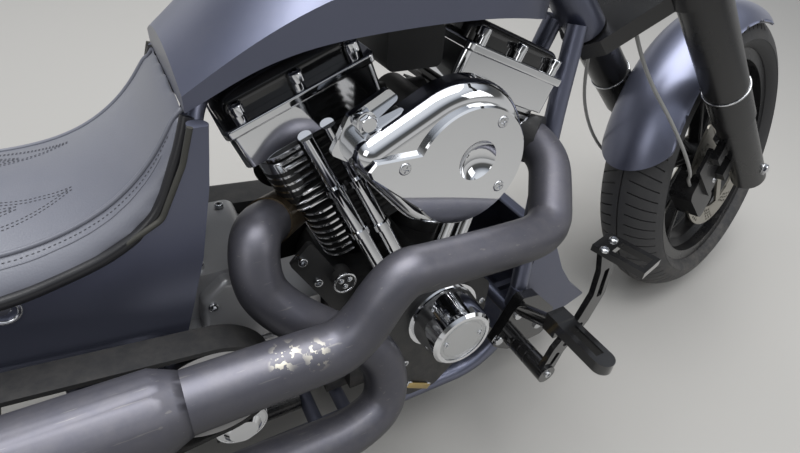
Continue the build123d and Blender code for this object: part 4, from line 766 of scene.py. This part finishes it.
# Ahead of the rear axle, left of the middle, height, and the tube's radius there, in millimetres
FRONT_PIPE = [(1068, -70, 520, 29), (1072, -108, 512, 29), (1046, -150, 480, 30), (1020, -190, 446, 30),
              (913, -212, 469, 28.5), (802, -226, 489, 27), (756, -232, 499, 27), (704, -236, 421, 29.5),
              (640, -236, 421, 32), (531, -236, 421, 32)]
front_pipe = tube_piece("front_pipe", [STANCE @ (Vector(row[:3]) * MM) for row in FRONT_PIPE], 0.030, heat_paint,
                        radii=[row[3] for row in FRONT_PIPE], fine=10)
upper_can = muffler_can("upper_can", "exhaust_front")
print("front pipe:", len(front_pipe.data.polygons), "upper can:", len(upper_can.data.polygons))

# %% [markdown]
# The rear pipe leaves its head low down, behind the fins, and drops in a tight bend. The casting's
# port is trimmed flush with its fins on a copy of the cylinder, so that the pipe can turn there:
# a block with the fins' own rounded outline left out of it cuts off only what stands proud.

# %% The rear pipe and its cylinder
REAR_PIPE = [(706, -10, 452, 28.5), (672, -62, 480, 28.5), (640, -112, 505, 28.5), (630, -134, 468, 28.5),
             (638, -148, 432, 28.5), (690, -175, 386, 28.5), (764, -194, 340, 28.5), (768, -218, 262, 28.5),
             (712, -232, 244, 29.5), (640, -232, 244, 32), (531, -232, 244, 32)]
PORT = [(716, 4, 446), (694, -28, 462), (666, -70, 484)]
tube_piece("port_sleeve", [STANCE @ (Vector(point) * MM) for point in PORT], 0.0305, heat_tint, fine=10)
rear_pipe = tube_piece("rear_pipe", [STANCE @ (Vector(row[:3]) * MM) for row in REAR_PIPE], 0.030, heat_paint,
                       radii=[row[3] for row in REAR_PIPE], fine=10)
muffler_can("lower_can", "exhaust_rear")

# What is kept reaches a hair past the fins' own faces, so that they are never shaved
HAIR = 0.0001
cylinder = node_copy("cylinder_rear")
proud = fresh("cube", "proud", size=1)
proud.data.transform(Matrix.Translation((-0.10, -0.08, 0.300)) @ Matrix.Diagonal((0.20, 0.16, 0.110, 1)))
keep = fresh("cube", "keep", size=1)
keep.data.transform(Matrix.Translation((0.10 - HEAD_REACH - HAIR, 0.10 - FIN_SIDE - HAIR, 0.30))
                    @ Matrix.Diagonal((0.20, 0.20, 0.20, 1)))
edit(keep)
select_only(keep, "EDGE", lambda edge: all(v.co.x < 0 and v.co.y < 0 for v in edge.verts))
bpy.ops.mesh.bevel(offset=FIN_CORNER, segments=12, affect="EDGES")
done()
cut(proud, keep)
proud.data.transform(bore(-1))
cut(cylinder, proud)
finished(cylinder, "cylinder_rear_head", rear_fins, angle=30)
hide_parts("cylinder_rear")
print("rear pipe:", len(rear_pipe.data.polygons), "cylinder:", len(cylinder.data.polygons))

# %% [markdown]
# The front fender ends in a rounded tongue behind the wheel. A block with an oval scoop in it,
# laid across the blade's end, trims a copy of the blade to that shape.

# %% The fender's rounded end
TONGUE = math.radians(171)
fender = node_copy("front_fender")
trim = fresh("cube", "trim", size=1)
modified(trim, "BEVEL", width=0.001)
trim.data.transform(Matrix.Translation((-0.34, 0, -0.15)) @ Matrix.Diagonal((0.2, 0.3, 0.42, 1)))
scoop = fresh("cylinder", "scoop", vertices=64, radius=0.0745, depth=0.5)
scoop.data.transform(Matrix.Translation((-0.34, 0, 0.062)) @ Matrix.Diagonal((1, 1, 0.80, 1))
                     @ Matrix.Rotation(math.pi / 2, 4, "Y"))
scoop.matrix_basis = Matrix()
cut(trim, scoop)
trim.data.transform(FRONT_WHEEL @ Matrix.Rotation(math.pi - TONGUE, 4, "Y"))
cut(fender, trim)
finished(fender, "fender_blade", paint, "steering", angle=30)
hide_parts("front_fender")
print("fender blade:", len(fender.data.polygons))

# %% [markdown]
# The seat is firm foam under a thin hide, sewn from a top panel and two side panels. The seam
# between them stays put, because it is stitched down, while the panels swell a little. A cloth
# simulation does just that: the foam's shape is remeshed evenly, the seam and the underside are
# pinned, and air pressure pushes the rest out by a few millimetres at most.

# %% The seat's shape
# Stations along the seat in millimetres: x, half width, lower edge, welt half width, welt height, crown
SEAT = [(592, 106, 642, 88, 652, 656), (576, 114, 606, 92, 632, 640), (546, 122, 554, 96, 596, 606),
        (503, 128, 526, 100, 564, 580), (450, 134, 512, 104, 546, 562), (403, 138, 506, 106, 542, 560),
        (333, 140, 506, 106, 548, 572), (243, 132, 530, 98, 592, 624), (168, 112, 590, 80, 664, 696)]
# The hide swells by no more than this. It is held near the seam and free further away from it
SWELL, HELD_TO, FREE_FROM = 0.004, 0.004, 0.026


def along_seat(column, share):
    """A value of the seat's table at a share of the way from its front to its back, eased."""
    place = share * (len(SEAT) - 1)
    index = min(int(place), len(SEAT) - 2)
    part = place - index
    before, start = SEAT[max(index - 1, 0)][column], SEAT[index][column]
    end, after = SEAT[index + 1][column], SEAT[min(index + 2, len(SEAT) - 1)][column]
    return 0.5 * (2 * start + (end - before) * part + (2 * before - 5 * start + 4 * end - after) * part ** 2
                  + (3 * start - before - 3 * end + after) * part ** 3)


def welt_line(side, count=80, inwards=0.0, down=0.0):
    """Points along the seam between the top and a side panel, in metres on the upright machine."""
    return [Vector((along_seat(0, i / count), side * (along_seat(3, i / count) - inwards),
                    along_seat(4, i / count) - down)) * MM for i in range(count + 1)]


seat = node_copy("seat")
modified(seat, "REMESH", mode="VOXEL", voxel_size=0.006)
modified(seat, "SMOOTH", factor=0.5, iterations=4)
seam = [p for side in (-1, 1) for p in welt_line(side)]
seam_tree = kdtree.KDTree(len(seam))
for number, point in enumerate(seam):
    seam_tree.insert(point, number)
seam_tree.balance()
held = seat.vertex_groups.new(name="held")
for vertex in seat.data.vertices:
    gap = seam_tree.find(UPRIGHT @ vertex.co)[2]
    share = 1.0 - min(max((gap - HELD_TO) / (FREE_FROM - HELD_TO), 0.0), 1.0)
    if (UPRIGHT.to_3x3() @ vertex.normal).z < -0.4:
        share = 1.0
    held.add([vertex.index], share, "REPLACE")
firm = [v.co.copy() for v in seat.data.vertices]
cloth = seat.modifiers.new("swell", "CLOTH")
cloth.settings.use_pressure = True
cloth.settings.uniform_pressure_force = 4
cloth.settings.effector_weights.gravity = 0
cloth.settings.vertex_group_mass = "held"
cloth.point_cache.frame_end = 20
for step in range(1, 21):
    bpy.context.scene.frame_set(step)
bpy.context.view_layer.objects.active = seat
bpy.ops.object.modifier_apply(modifier="swell")
bpy.context.scene.frame_set(1)
for vertex, start in zip(seat.data.vertices, firm):
    move = vertex.co - start
    if move.length > SWELL:
        vertex.co = start + move.normalized() * SWELL
modified(seat, "SMOOTH", factor=0.5, iterations=3)
modified(seat, "SUBSURF", levels=1, render_levels=1)
finished(seat, "seat_cover", leather, angle=180)
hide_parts("seat")
skin = bvhtree.BVHTree.FromObject(seat, bpy.context.evaluated_depsgraph_get())
print("seat faces:", len(seat.data.polygons))


def on_skin(point, lift=0.0):
    """The nearest place on the seat to a point of the upright machine, raised by a little."""
    place, normal = skin.find_nearest(STANCE @ point)[:2]
    return place + normal * lift, normal


# %% [markdown]
# The welt is a thin cord sewn into the seam between the panels: a tube along a line that is laid
# on the hide. Beside it runs a line of stitches, each a short grain of thread. One stitch is
# modelled, and its copies follow the line.

# %% Welt, edging and stitches
thread = finish("thread", (0.060, 0.062, 0.074), (0.080, 0.083, 0.098), 0.6, grain_scale=2500, bump=0.4,
                slot="seat_leather")
stitch = fresh("uv_sphere", "stitch", segments=6, ring_count=5, radius=0.00055)
edit(stitch)
select_faces(stitch, lambda face: True)
bpy.ops.transform.resize(value=(2.6, 1, 0.8))
done()


def stitched(name, lines, pitch=0.0048):
    """Stitches laid end to end along lines of points on the skin."""
    places = []
    for line in lines:
        run, want = 0.0, 0.0
        for start, end in zip(line, line[1:]):
            length = (end - start).length
            while want < run + length:
                point, normal = on_skin(start + (end - start) * ((want - run) / length), 0.0003)
                ahead_of = (STANCE.to_3x3() @ (end - start)).normalized()
                across_line = normal.cross(ahead_of).normalized()
                turned = Matrix((across_line.cross(normal) * -1, across_line, normal)).transposed().to_4x4()
                turned.translation = point
                places.append(turned)
                want += pitch
            run += length
    return copies(stitch, places, name, thread, angle=60)


for side, word in ((-1, "right"), (1, "left")):
    cord_line = [on_skin(p, 0.0008)[0] for p in welt_line(side, 40)]
    tube_piece(f"seat_welt_{word}", cord_line, 0.0026, leather)
    inner_cord = [on_skin(p, -0.0002)[0] for p in welt_line(side, 40, inwards=-6, down=14)]
    tube_piece(f"seat_seam_{word}", inner_cord, 0.0010, leather)
stitched("welt_stitches", [welt_line(side, 60, inwards=-4, down=9) for side in (-1, 1)])

# %% [markdown]
# The top panel carries a pattern of double-stitched lines. Here it is a pair of slim leaves on
# each side, nested one in the other, laid out along the seat's flow.

# %% The stitched leaves
def leaf(side, x_tip, x_end, y_middle, half_wide, sway, count=40):
    """One side of a slim leaf, as points above the seat."""
    return [Vector((x_tip + (x_end - x_tip) * i / count,
                    side * (y_middle + half_wide * math.sin(math.pi * i / count)
                            + sway * math.sin(2 * math.pi * i / count)), 600)) * MM for i in range(count + 1)]


# Tip and end along the seat, middle line from the centre, half width, sway
LEAVES = [(480, 225, 52, 26, 6), (480, 225, 52, -24, 6), (430, 262, 52, 13, 4), (430, 262, 52, -12, 4)]
leaves = []
for side in (-1, 1):
    for x_tip, x_end, y_middle, half_wide, sway in LEAVES:
        for aside in (-2.2, 2.2):
            line = leaf(side, x_tip, x_end, y_middle + aside, half_wide, sway)
            leaves.append([UPRIGHT @ (skin.ray_cast(STANCE @ (p + Vector((0, 0, 0.2))),
                                                    STANCE.to_3x3() @ Vector((0, 0, -1)))[0] or STANCE @ p)
                           for p in line])
stitched("leaf_stitches", leaves, pitch=0.0042)
bpy.data.objects.remove(stitch)

# %% [markdown]
# Two cords on each side close the gap between the seat and the painted cowl under it: a soft
# binding along the seat's own lower edge, and a dull rubber edging along the cowl's upper edge.

# %% The binding and the edging
binding = finish("binding", (0.012, 0.012, 0.014), (0.018, 0.018, 0.020), 0.3, grain_scale=900, bump=0.2,
                 dusty=0.05, slot="seat_leather")
edging = finish("edging", (0.040, 0.040, 0.034), (0.055, 0.054, 0.046), 0.55, grain_scale=1200, bump=0.2,
                dusty=0.3, slot="rubber")
# Ahead of the rear axle and height, along the cowl's upper edge
COWL_EDGE = [(592, 647), (580, 611), (552, 557), (500, 529), (430, 519), (352, 519)]
COWL_SIDE = 125.5
for side, word in ((-1, "right"), (1, "left")):
    line = [STANCE @ (Vector((along_seat(0, i / 60) + 2, side * (along_seat(1, i / 60) - 4.5),
                              along_seat(2, i / 60) + 5)) * MM) for i in range(61)]
    tube_piece(f"seat_binding_{word}", line, 0.0068, binding)
    edge = [Vector((x + (next_x - x) * n / 5, side * COWL_SIDE, z + (next_z - z) * n / 5))
            for (x, z), (next_x, next_z) in zip(COWL_EDGE, COWL_EDGE[1:]) for n in range(5)]
    tube_piece(f"seat_edging_{word}", [STANCE @ (point * MM) for point in edge], 0.0030, edging)
print("seat trim done")

# %% [markdown]
# A brake hose runs from behind the lower tree down inside each leg to its caliper. It is a cord: a
# curve with the very points the CAD hose was swept along, given in the fork's own frame and turned
# with it, thick enough to be the hose itself. It rides on the fork.

# %% Brake hoses
HOSE_R = 3.2
for side, word in ((-1, "right"), (1, "left")):
    ROUTE = [(62, side * 34, 559), (40, side * 40, 512), (10, side * 60, 450), (-4, side * 80, 386),
             (-14, side * 92, 318), (-20, side * 96, 250), (-20, side * 90, 186), (-12, side * 72, 146),
             (-11, side * 70, 114)]
    line = bpy.data.curves.new(f"hose_{word}", "CURVE")
    line.dimensions = "3D"
    line.bevel_depth = HOSE_R * MM
    line.bevel_resolution = 4
    line.use_fill_caps = True
    spline = line.splines.new("NURBS")
    spline.points.add(len(ROUTE) - 1)
    for knot, point in zip(spline.points, ROUTE):
        knot.co = (*(TURNED @ (Vector(point) * MM)), 1)
    spline.order_u = 3
    spline.use_endpoint_u = True
    spline.resolution_u = 16
    hose = bpy.data.objects.new(f"hose_{word}", line)
    bpy.context.scene.collection.objects.link(hose)
    line.materials.append(hose_skin)
    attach(hose, "steering")
    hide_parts("brake_hoses")

# %% [markdown]
# Screws tell the eye how big a machine is. Each kind is modelled once, standing on its seat at the
# origin with its axis up: a turned head with a socket sunk in it, a six-sided head on a washer, or
# a low dome with a cross. Tables then say where each one sits on the upright machine.

# %% Kinds of screw
def socket_screw(name, radius, height, dome=0.18, washer=0.0):
    """A turned head with a hexagon socket."""
    head = fresh("cylinder", name, vertices=28, radius=radius, depth=height, location=(0, 0, height / 2))
    edit(head)
    select_faces(head, lambda face: face.normal.z > 0.9)
    bpy.ops.mesh.bevel(offset=radius * dome, segments=3, affect="EDGES")
    done()
    socket = fresh("cylinder", "socket", vertices=6, radius=radius * 0.55, depth=height, location=(0, 0, height))
    cut(head, socket)
    if washer:
        ring = fresh("cylinder", "washer", vertices=28, radius=washer, depth=0.002, location=(0, 0, 0.001))
        modified(ring, "BEVEL", width=0.0005, segments=2)
        head = joined([head, ring], name)
    return head


def hex_bolt(name, radius, height, washer):
    """A six-sided head on a round washer."""
    head = fresh("cylinder", name, vertices=6, radius=radius, depth=height, location=(0, 0, height / 2 + 0.0015))
    crown = fresh("cone", "crown", vertices=32, radius1=radius * 1.6, radius2=radius * 0.55, depth=height * 1.5,
                  location=(0, 0, height * 0.85))
    modified(head, "BOOLEAN", operation="INTERSECT", solver="EXACT", object=crown)
    bpy.data.objects.remove(crown)
    ring = fresh("cylinder", "washer", vertices=28, radius=washer, depth=0.0018, location=(0, 0, 0.0009))
    modified(ring, "BEVEL", width=0.0004, segments=2)
    return joined([head, ring], name)


def cross_screw(name, radius, height):
    """A low dome with a cross sunk in it."""
    head = fresh("cylinder", name, vertices=32, radius=radius, depth=height, location=(0, 0, height / 2))
    edit(head)
    select_faces(head, lambda face: face.normal.z > 0.9)
    bpy.ops.mesh.bevel(offset=height * 0.8, segments=5, affect="EDGES")
    done()
    for turn_by in (0, math.pi / 2):
        slot = fresh("cube", "slot", size=1, location=(0, 0, height), rotation=(0, 0, turn_by),
                     scale=(radius * 1.1, radius * 0.24, height))
        cut(head, slot)
    return head


plain_screw = socket_screw("plain_screw", 0.006, 0.006)
small_screw = socket_screw("small_screw", 0.0042, 0.004)
tall_screw = socket_screw("tall_screw", 0.0064, 0.010, washer=0.0086)
button = socket_screw("button", 0.0065, 0.0045, dome=0.5)
rocker_nut = socket_screw("rocker_nut", 0.0082, 0.012, dome=0.3)
bolt = hex_bolt("bolt", 0.0095, 0.007, 0.0115)
cross = cross_screw("cross", 0.0075, 0.0032)
print("kinds of screw: 7")

# %% [markdown]
# Now the tables. Engine screws are given on the upright machine as ahead, left and height in
# millimetres; what sits on a rocker box is given in the bore's own plane.

# %% Screws on the engine and gearbox
LEFT, UP = (0, 1, 0), (0, 0, 1)
nuts = [bore(side) @ Matrix.Translation(Vector((u * -side, y, 410)) * MM)
        for side in (-1, 1) for u in (-70, 2, 72) for y in (-56, 56)]
copies(rocker_nut, nuts, "rocker_nuts", chrome)
copies(tall_screw, [spot(699, -92, 424), spot(719, -92, 382)], "plate_screws", polished)
GEAR_COVER = [(825, 362), (892, 350), (977, 281), (845, 196), (857, 138), (895, 114)]
copies(plain_screw, [spot(x, -132, z, spin=x) for x, z in GEAR_COVER], "gear_cover_screws", polished)
copies(small_screw, [spot(872, -192, 288), spot(930, -192, 288)], "timer_screws", polished)
copies(small_screw, [spot(752 + 7 * math.cos(a), -107, 384 + 7 * math.sin(a)) for a in (0.5, 2.6, 4.7)],
       "cap_screws", polished)
copies(cross, [spot(x, -178, z, spin=x) for x, z in ((788, 588), (909, 622), (921, 536))], "air_screws", polished)
copies(bolt, [spot(758, -148, 628)], "strap_bolt", chrome)
GEARBOX_TOP = [(530, -66), (630, -66), (580, -72), (530, 44), (630, 44)]
copies(plain_screw, [spot(x, y, 444, UP) for x, y in GEARBOX_TOP], "gearbox_top_screws", polished)
GEARBOX_SIDE = [(584, 404), (648, 388), (654, 345), (584, 345)]
copies(plain_screw, [spot(x, -104, z) for x, z in GEARBOX_SIDE], "gearbox_side_screws", polished)
copies(bolt, [spot(404, -126, 497)], "cowl_screw", chrome)
PRIMARY = [(500, 284), (500, 382), (572, 404), (700, 392), (830, 380), (946, 366), (984, 330), (984, 205),
           (922, 166), (800, 190), (680, 218), (575, 246)]
copies(plain_screw, [spot(x, 151, z, LEFT) for x, z in PRIMARY], "primary_screws", polished)
# Round covers on the left: ahead, height, bolt circle and number of screws
DERBY = [(870, 270, 52, 5), (560, 332, 40, 3)]
copies(button, [spot(x + r * math.cos(a), 162, z + r * math.sin(a), LEFT) for x, z, r, count in DERBY
                for a in [2 * math.pi * n / count + 0.6 for n in range(count)]], "derby_screws", polished)

# %% [markdown]
# The controls, wheels and fork have their own fasteners. What turns with the fork is placed
# through the turned front end, and what spins with a wheel rides on the wheel.

# %% Screws on the controls, wheels and fork
DISC_SCREWS = [(38 * math.cos(a), 38 * math.sin(a)) for a in [2 * math.pi * n / 5 for n in range(5)]]
for side, word in ((-1, "right"), (1, "left")):
    out = (0, side, 0)
    copies(button, [spot(1097, side * 236, 440.5, UP), spot(1068, side * 247, 440.5, UP)], f"pad_screws_{word}",
           polished)
    copies(bolt, [spot(x, side * 140, z, out) for x, z in ((1062, 215), (1031, 165), (1118, 168))],
           f"plate_bolts_{word}", polished)
    copies(plain_screw, [spot(1061, side * 234, 167, out)], f"pivot_screw_{word}", polished)
    copies(bolt, [spot(0, side * 224, 328, out)], f"axle_bolt_{word}", chrome)
    leg = [TURNED @ Matrix.Translation(Vector((110, side * 150, 0)) * MM) @ spot(0, 0, 0, out, base=Matrix())]
    copies(bolt, leg, f"front_axle_bolt_{word}", chrome, "steering")
    lugs = [TURNED @ spot(32 + 52 * n, side * 91, 66 + 74 * n, out, base=Matrix()) for n in (0, 1)]
    copies(button, lugs, f"caliper_screws_{word}", polished, "steering")
    ring = [FRONT_WHEEL @ spot(x, side * 63.2, z, out, base=Matrix()) for x, z in DISC_SCREWS]
    copies(button, ring, f"disc_screws_{word}", polished, "front_wheel")
    crowns = [TURNED @ spot(110, side * 113, 864.5, UP, base=Matrix())]
    copies(button, crowns, f"leg_cap_{word}", polished, "steering")
rear_ring = [REAR_WHEEL @ spot(x, 137.2, z, LEFT, base=Matrix()) for x, z in DISC_SCREWS]
copies(button, rear_ring, "rear_disc_screws", polished, "rear_wheel")
for pattern in (plain_screw, small_screw, tall_screw, button, rocker_nut, bolt, cross):
    bpy.data.objects.remove(pattern)

# %% [markdown]
# Rings and bands come from the torus primitive: its section is cut square or flattened in edit
# mode so that it reads as a band of sheet metal, a clamp or a turned rim rather than as a doughnut.

# %% Rings, bands and clamps
def band(name, place, radius, thick, wide, material, body="root", segments=72):
    """A flat band round an axis, with soft edges."""
    ring = fresh("torus", name, major_radius=radius, minor_radius=thick / 2, major_segments=segments,
                 minor_segments=12)
    edit(ring)
    select_faces(ring, lambda face: face.calc_center_median().z > 0)
    bpy.ops.transform.translate(value=(0, 0, wide / 2))
    select_faces(ring, lambda face: face.calc_center_median().z < 0)
    bpy.ops.transform.translate(value=(0, 0, -wide / 2))
    done()
    tidied(ring, 0.00001)
    return finished(ring, name, material, body, place, angle=50)


band("timer_inner_ring", spot(901, -192, 288), 0.0335, 0.0014, 0.0004, brushed)
band("cap_ring", spot(752, -106.5, 384), 0.0152, 0.0030, 0.0020, chrome)
for offset in (98, 116):
    band(f"filter_clamp_{offset}", spot(588, -offset, 196), 0.0372, 0.0022, 0.007, polished)
band("filter_rim", spot(588, -127, 196), 0.0352, 0.0030, 0.001, chrome)
for side, word in ((-1, "right"), (1, "left")):
    slider_ring = TURNED @ Matrix.Translation(Vector((110, side * 113, 300)) * MM)
    band(f"slider_ring_{word}", slider_ring, 0.0383, 0.0030, 0.001, polished, "steering")
band("cowl_ring", spot(404, -127, 497), 0.0135, 0.0050, 0.001, chrome)
print("bands done")

# %% [markdown]
# Small plates: the timer's brushed face, the round cap's dark face, the tan link between two gear
# cover screws and the silver flange on the front hub. Each round plate is a primitive whose face is
# inset and pushed, so that it has a rim to catch the light; the link is a block with bevelled edges.

# %% Small plates
def dished(name, place, radius, depth, rim, sink, material, body="root", vertices=64):
    """A round plate whose face is sunk inside a rim."""
    plate = fresh("cylinder", name, vertices=vertices, radius=radius, depth=depth, location=(0, 0, depth / 2))
    edit(plate)
    select_faces(plate, lambda face: face.normal.z > 0.9)
    bpy.ops.mesh.inset(thickness=rim)
    bpy.ops.mesh.extrude_region_move(TRANSFORM_OT_translate={"value": (0, 0, -sink)})
    bpy.ops.mesh.inset(thickness=rim * 0.4)
    done()
    modified(plate, "BEVEL", width=0.0004, segments=2)
    return finished(plate, name, material, body, place, angle=40)


dished("timer_face", spot(901, -191.8, 288), 0.0392, 0.0012, 0.0022, 0.0006, brushed)
dished("cap_face", spot(752, -105.5, 384), 0.0140, 0.0016, 0.0030, 0.0006, casting)
link = fresh("cube", "link", size=1)
link.data.transform(Matrix.Diagonal((0.052, 0.013, 0.004, 1)))
modified(link, "BEVEL", width=0.0019, segments=3)
link_axes = Matrix((Vector((38, 0, -24)).normalized(), Vector((24, 0, 38)).normalized(), (0, -1, 0)))
link_place = STANCE @ Matrix.Translation(Vector((876, -134, 126)) * MM) @ link_axes.transposed().to_4x4()
finished(link, "gear_link", brass, place=link_place, angle=40)
for side, word in ((-1, "right"), (1, "left")):
    flange = FRONT_WHEEL @ spot(0, side * 63.1, 0, (0, side, 0), base=Matrix())
    dished(f"hub_flange_{word}", flange, 0.0335, 0.004, 0.005, 0.0015, polished, "front_wheel")
print("plates done")

# %% [markdown]
# The hand grips have raised ribs. One rib is a narrow band, and its copies sit along the bar's
# end, laid out in the fork's own frame because they turn with it.

# %% Ribs on the hand grips
GRIP_END, GRIP_IN, GRIP_R = Vector((14, 398, 806)), Vector((80, 250, 900)), 17
rib = fresh("torus", "rib", major_radius=(GRIP_R + 0.6) * MM, minor_radius=0.0022, major_segments=32,
            minor_segments=8)
for side, word in ((-1, "right"), (1, "left")):
    mirror_y = Vector((1, side, 1))
    tip, inner = GRIP_END * mirror_y, GRIP_IN * mirror_y
    along = (inner - tip).normalized()
    turned_rib = along.to_track_quat("Z", "Y").to_matrix().to_4x4()
    ribs = [TURNED @ Matrix.Translation((tip + along * (12 + 9.5 * n)) * MM) @ turned_rib for n in range(11)]
    copies(rib, ribs, f"grip_ribs_{word}", rubber, "steering", angle=60)
bpy.data.objects.remove(rib)
